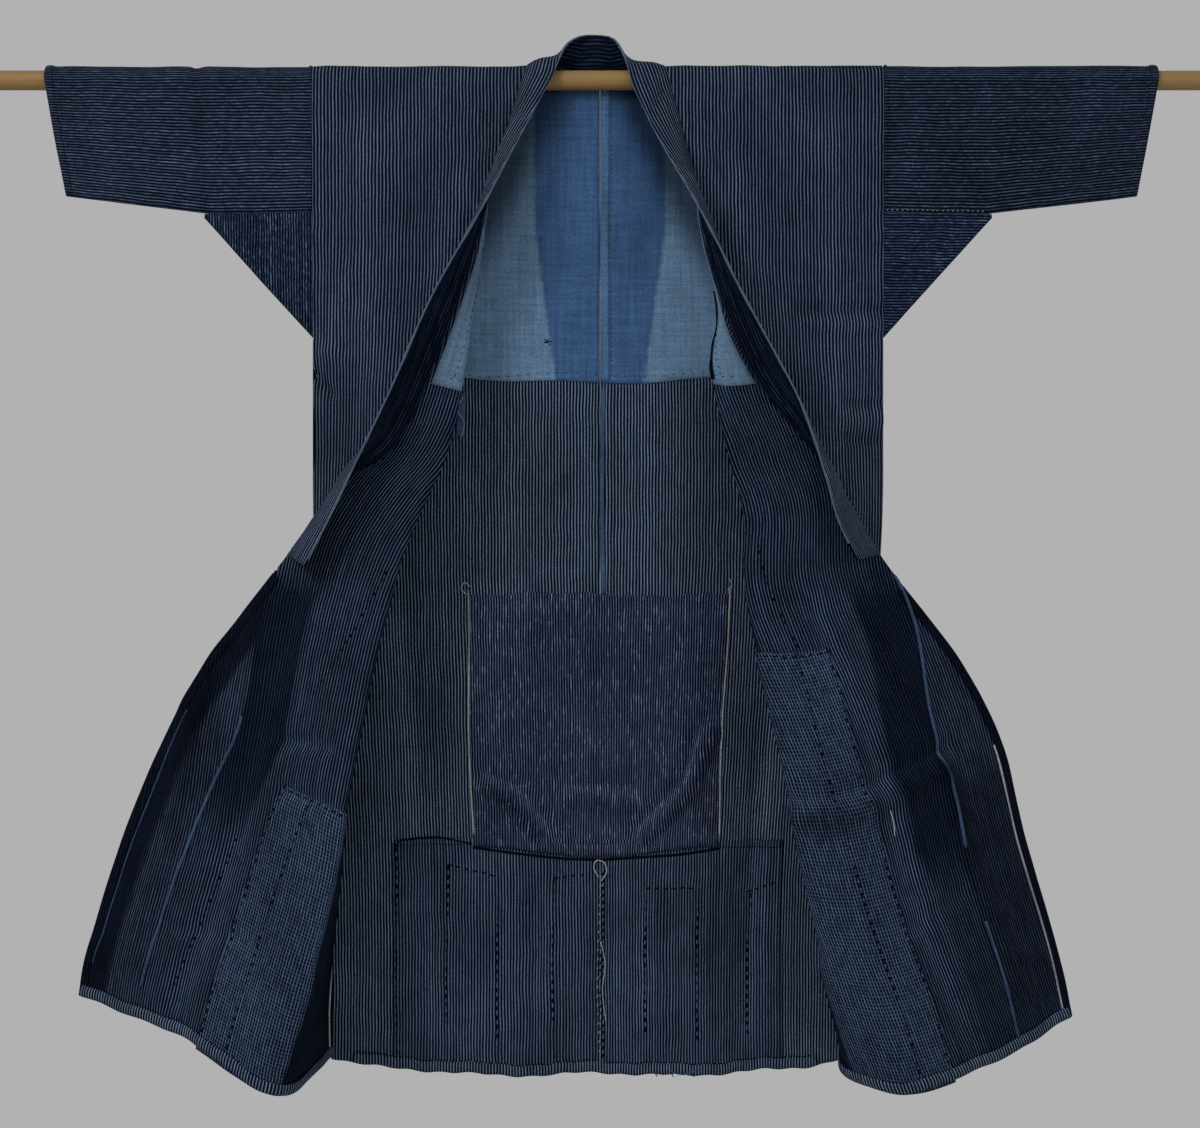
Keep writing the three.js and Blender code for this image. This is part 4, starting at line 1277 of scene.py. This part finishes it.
def left_front_extras(panel):
    return [
        (band_piece, "side_seam_selvage", "body_cotton",
         below((5, 836), (10, 868), (5, 905), (12, 944), (8, 984)), 3.0, 0.8, ON_INNER, PALE_SELVAGE),
        (band_piece, "strip_faded_ridge", "body_cotton", edge_line(panel, 12, 700, 960), 1.6, 0.8,
         ON_INNER, FADED_FOLD, 0.7),
        (stitches, "wing_stitches", "body_cotton", [
            wing_line(panel, (0.12, 500), (0.34, 640)), wing_line(panel, (0.50, 800), (0.56, 960)),
        ], ON_INNER, DARK_THREAD, 4.6, 3.4, 1.8),
        (stitches, "front_lining_fold_stitches", "lining_cotton",
         [wing_line(panel, (0.10, 215), (0.30, 300))], ON_PATCH, DARK_THREAD, 3.0, 4.4, 1.0),
    ]


def right_front_extras(panel):
    return [
        (band_piece, "strip_lower_ridge", "body_cotton", strip_seam_line(panel, 872, 985), 3.2, 1.8,
         ON_INNER, FADED_FOLD),
        (band_piece, "selvage_line", "body_cotton", edge_line(panel, 11, 722, 985), 1.9, 0.8,
         ON_INNER, PALE_SELVAGE),
        (stitches, "wing_stitches", "body_cotton", [
            wing_line(panel, (0.12, 470), (0.28, 620)), wing_line(panel, (0.30, 830), (0.40, 985)),
        ], ON_INNER, DARK_THREAD, 4.8, 3.0, 1.9),
        (stitches, "front_lining_fold_stitches", "lining_cotton",
         [wing_line(panel, (0.10, 240), (0.24, 300))], ON_PATCH, DARK_THREAD, 3.0, 3.8, 1.1),
        (band_piece, "front_lining_rolled_edge", "lining_cotton",
         wing_line(panel, (0.02, 215), (0.0, 250), (0.05, 306)), 4, 1.5, ON_PATCH, DARK_THREAD),
    ]


def make_extras(name, panel, rows):
    return [make(f"{part}_{name}", slot, panel, *rest) for make, part, slot, *rest in rows]


front_pieces, front_extras = {}, {}
for name in HALVES:
    panel = front_cloth[name]
    front_pieces[name] = [
        cloth_piece(
            f"front_cloth_{name}", "body_cotton", panel, front_outline(panel),
            [BODY_OUTER, WING_INNER], 76, 196, lines=wing_lines(panel, name), solid=f"front_{name}"),
        cloth_piece(
            f"front_strip_cloth_{name}", "body_cotton", panel, strip_outline(panel),
            [BODY_OUTER, STRIP_COTTON], 16, 92, lines=strip_lines(panel, name),
            solid=f"front_strip_{name}"),
        cloth_piece(
            f"front_lining_cloth_{name}", "lining_cotton", panel, front_lining_outline(panel),
            [FRONT_LINING_COTTON], 40, 64, THIN_CLOTH, PATCH_LIFT, solid=f"front_lining_{name}"),
        cloth_piece(
            f"checked_patch_cloth_{name}", "check_cotton", panel, checked_outline(panel, name),
            [CHECK_COTTON], 30, 80, THIN_CLOTH, PATCH_LIFT, solid=f"checked_patch_{name}"),
    ]
    front_extras[name] = make_extras(name, panel, shared_front_extras(name, panel))

left_panel, right_panel = front_cloth["left"], front_cloth["right"]
front_extras["left"] += make_extras("left", left_panel, left_front_extras(left_panel))
front_extras["right"] += make_extras("right", right_panel, right_front_extras(right_panel))
wing_thread = []
for drop, off in ((742, 2), (750, 5), (758, 5), (766, 3)):
    down = QUARTER_TURN + drop
    across = on_turned_part(right_panel, 0.40, down)
    wing_thread.append(right_panel.at(across, down, INNER * off)[0])
front_extras["right"].append(
    loose_thread("wing_loose_thread", "check_cotton", wing_thread, 1.0, PALE_THREAD))
# A cord closes the gap at each side seam; its near-black thread colour is painted shade in the seam.
for name, half in HALVES.items():
    seam = [(half["sign"] * (side_out(half, drop) - 0.5), 0, -drop)
            for drop in np.linspace(266, SIDE_LENGTH - 22, LINE_STEPS)]
    front_extras[name].append(
        loose_thread(f"side_seam_fold_{name}", "body_cotton", seam, 2.6, DARK_THREAD, 1))
for name, (front, *others) in front_pieces.items():
    declare(front)
    for made in others:
        declare(made)


# ---- Sleeves and gussets ----
def whole(panel):
    def outline(side, share):
        down = panel.down[0] + share * (panel.down[-1] - panel.down[0])
        first = np.interp(down, panel.down, panel.across[:, 0])
        return first + side * (panel.width(down) - first), down
    return outline


def around_line(around, inset, down):
    """A line round a sleeve, from one side of its underarm seam to the other."""
    return [(share * around, down) for share in np.linspace(inset, 1 - inset, LINE_STEPS)]


for name, half in HALVES.items():
    panel, corner = sleeve_cloth[name], gusset_cloth[name]
    cotton = SLEEVE_COTTON[name]
    sleeve = cloth_piece(
        f"sleeve_cloth_{name}", "sleeve_cotton", panel, whole(panel), [cotton], 84, 70,
        solid=f"sleeve_{name}")
    gusset = cloth_piece(
        f"gusset_cloth_{name}", "sleeve_cotton", corner, whole(corner), [GUSSET_COTTON[name]], 56, 28,
        solid=f"gusset_{name}")
    cuff = panel.down[-1]
    around = float(panel.width(cuff))
    underarm = [[(2.5, 2.0), (2.5, 112)], [(around - 2.5, 2.0), (around - 2.5, 112)]]
    underarm_thread = PALE_THREAD if name == "right" else DARK_THREAD
    sleeve_extras = [
        band_piece(f"cuff_hem_{name}", "sleeve_cotton", panel, around_line(around, 0.005, cuff - 4.5),
                   8, 0.9, ON_OUTER + 0.3, cotton),
        stitches(f"cuff_stitches_{name}", "sleeve_cotton", panel,
                 [around_line(around, 0.01, cuff - 10)], ON_OUTER + 0.3, BLUE_THREAD, 2.0, 4.6, 0.8),
        band_piece(f"armhole_seam_ridge_{name}", "sleeve_cotton", panel,
                   around_line(around, 0.01, 2.0), 3.4, 1.1, ON_OUTER, cotton),
        stitches(f"underarm_stitches_{name}", "sleeve_cotton", panel, underarm, ON_OUTER,
                 underarm_thread, 2.4, 3.2, 0.8),
    ]
    declare(sleeve)
    declare(gusset)


# ---- Collar ----
collar = cloth_piece(
    "collar_cloth", "collar_cotton", collar_cloth, whole(collar_cloth), [COLLAR_COTTON, COLLAR_INNER_SHADED],
    14, 300, COLLAR_CLOTH, solid="collar")
downs = collar_cloth.down
free_edge = collar_cloth.at(collar_cloth.width(downs), downs)[0][2:-2:4]
collar_seam = [(3.0, down) for down in np.linspace(6, downs[-1] - 6, 200)]
collar_extras = [
    loose_thread("collar_worn_edge", "collar_cotton", free_edge, 2.1, COLLAR_EDGE_THREAD, 1),
    stitches("collar_seam_stitches", "collar_cotton", collar_cloth, [collar_seam], 1.35, DARK_THREAD,
             2.6, 3.2, 0.8),
]
declare(collar)

# ---- Floor, light and camera ----
build = bmesh.new()
bmesh.ops.create_circle(
    build, cap_ends=True, segments=96, radius=0.95, matrix=Matrix.Translation((0, 0, FLOOR_LEVEL)))
floor_mesh = bpy.data.meshes.new("studio_floor")
build.to_mesh(floor_mesh)
build.free()
floor = bpy.data.objects.new("studio_floor", floor_mesh)
bpy.context.scene.collection.objects.link(floor)
floor_paint, tree = new_material("pale_floor_paint")
blotches = node(tree, NOISE, {"Scale": 3.0})
greys = node(tree, MIX, {"Factor": blotches, 6: linear("#b4b4b4"), 7: linear("#bababa")}, 2, **BLEND)
finish_material(tree, greys, blotches, 0.01, 0.8)
floor_mesh.materials.append(floor_paint)

world = bpy.data.worlds.new("pale_studio")
world.use_nodes = True
world.node_tree.nodes["Background"].inputs["Color"].default_value = linear("#b2b2b2")
bpy.context.scene.world = world
bpy.context.scene.view_settings.view_transform = "Standard"


def soft_light(name, place, aim, size, power):
    lamp = bpy.data.lights.new(name, "AREA")
    lamp.shape = "DISK"
    lamp.size = size
    lamp.energy = power
    holder = bpy.data.objects.new(name, lamp)
    holder.location = place
    holder.rotation_euler = (Vector(aim) - Vector(place)).to_track_quat("-Z", "Y").to_euler()
    bpy.context.scene.collection.objects.link(holder)


soft_light("key_softbox", (-1.9, -2.7, 1.5), MIDDLE, 1.2, 50)
soft_light("fill_softbox", (2.0, -2.9, 0.6), MIDDLE, 1.8, 16)
soft_light("back_softbox", (0.6, 2.8, 1.2), MIDDLE, 1.8, 26)

camera_data = bpy.data.cameras.new("front_camera")
camera_data.sensor_width = 36
camera_data.lens = 76.5
camera = bpy.data.objects.new("front_camera", camera_data)
camera.location = (0, -2.6, -0.493)
camera.rotation_euler = (math.pi / 2, 0, 0)
bpy.context.scene.collection.objects.link(camera)
bpy.context.scene.camera = camera

bpy.context.view_layer.update()
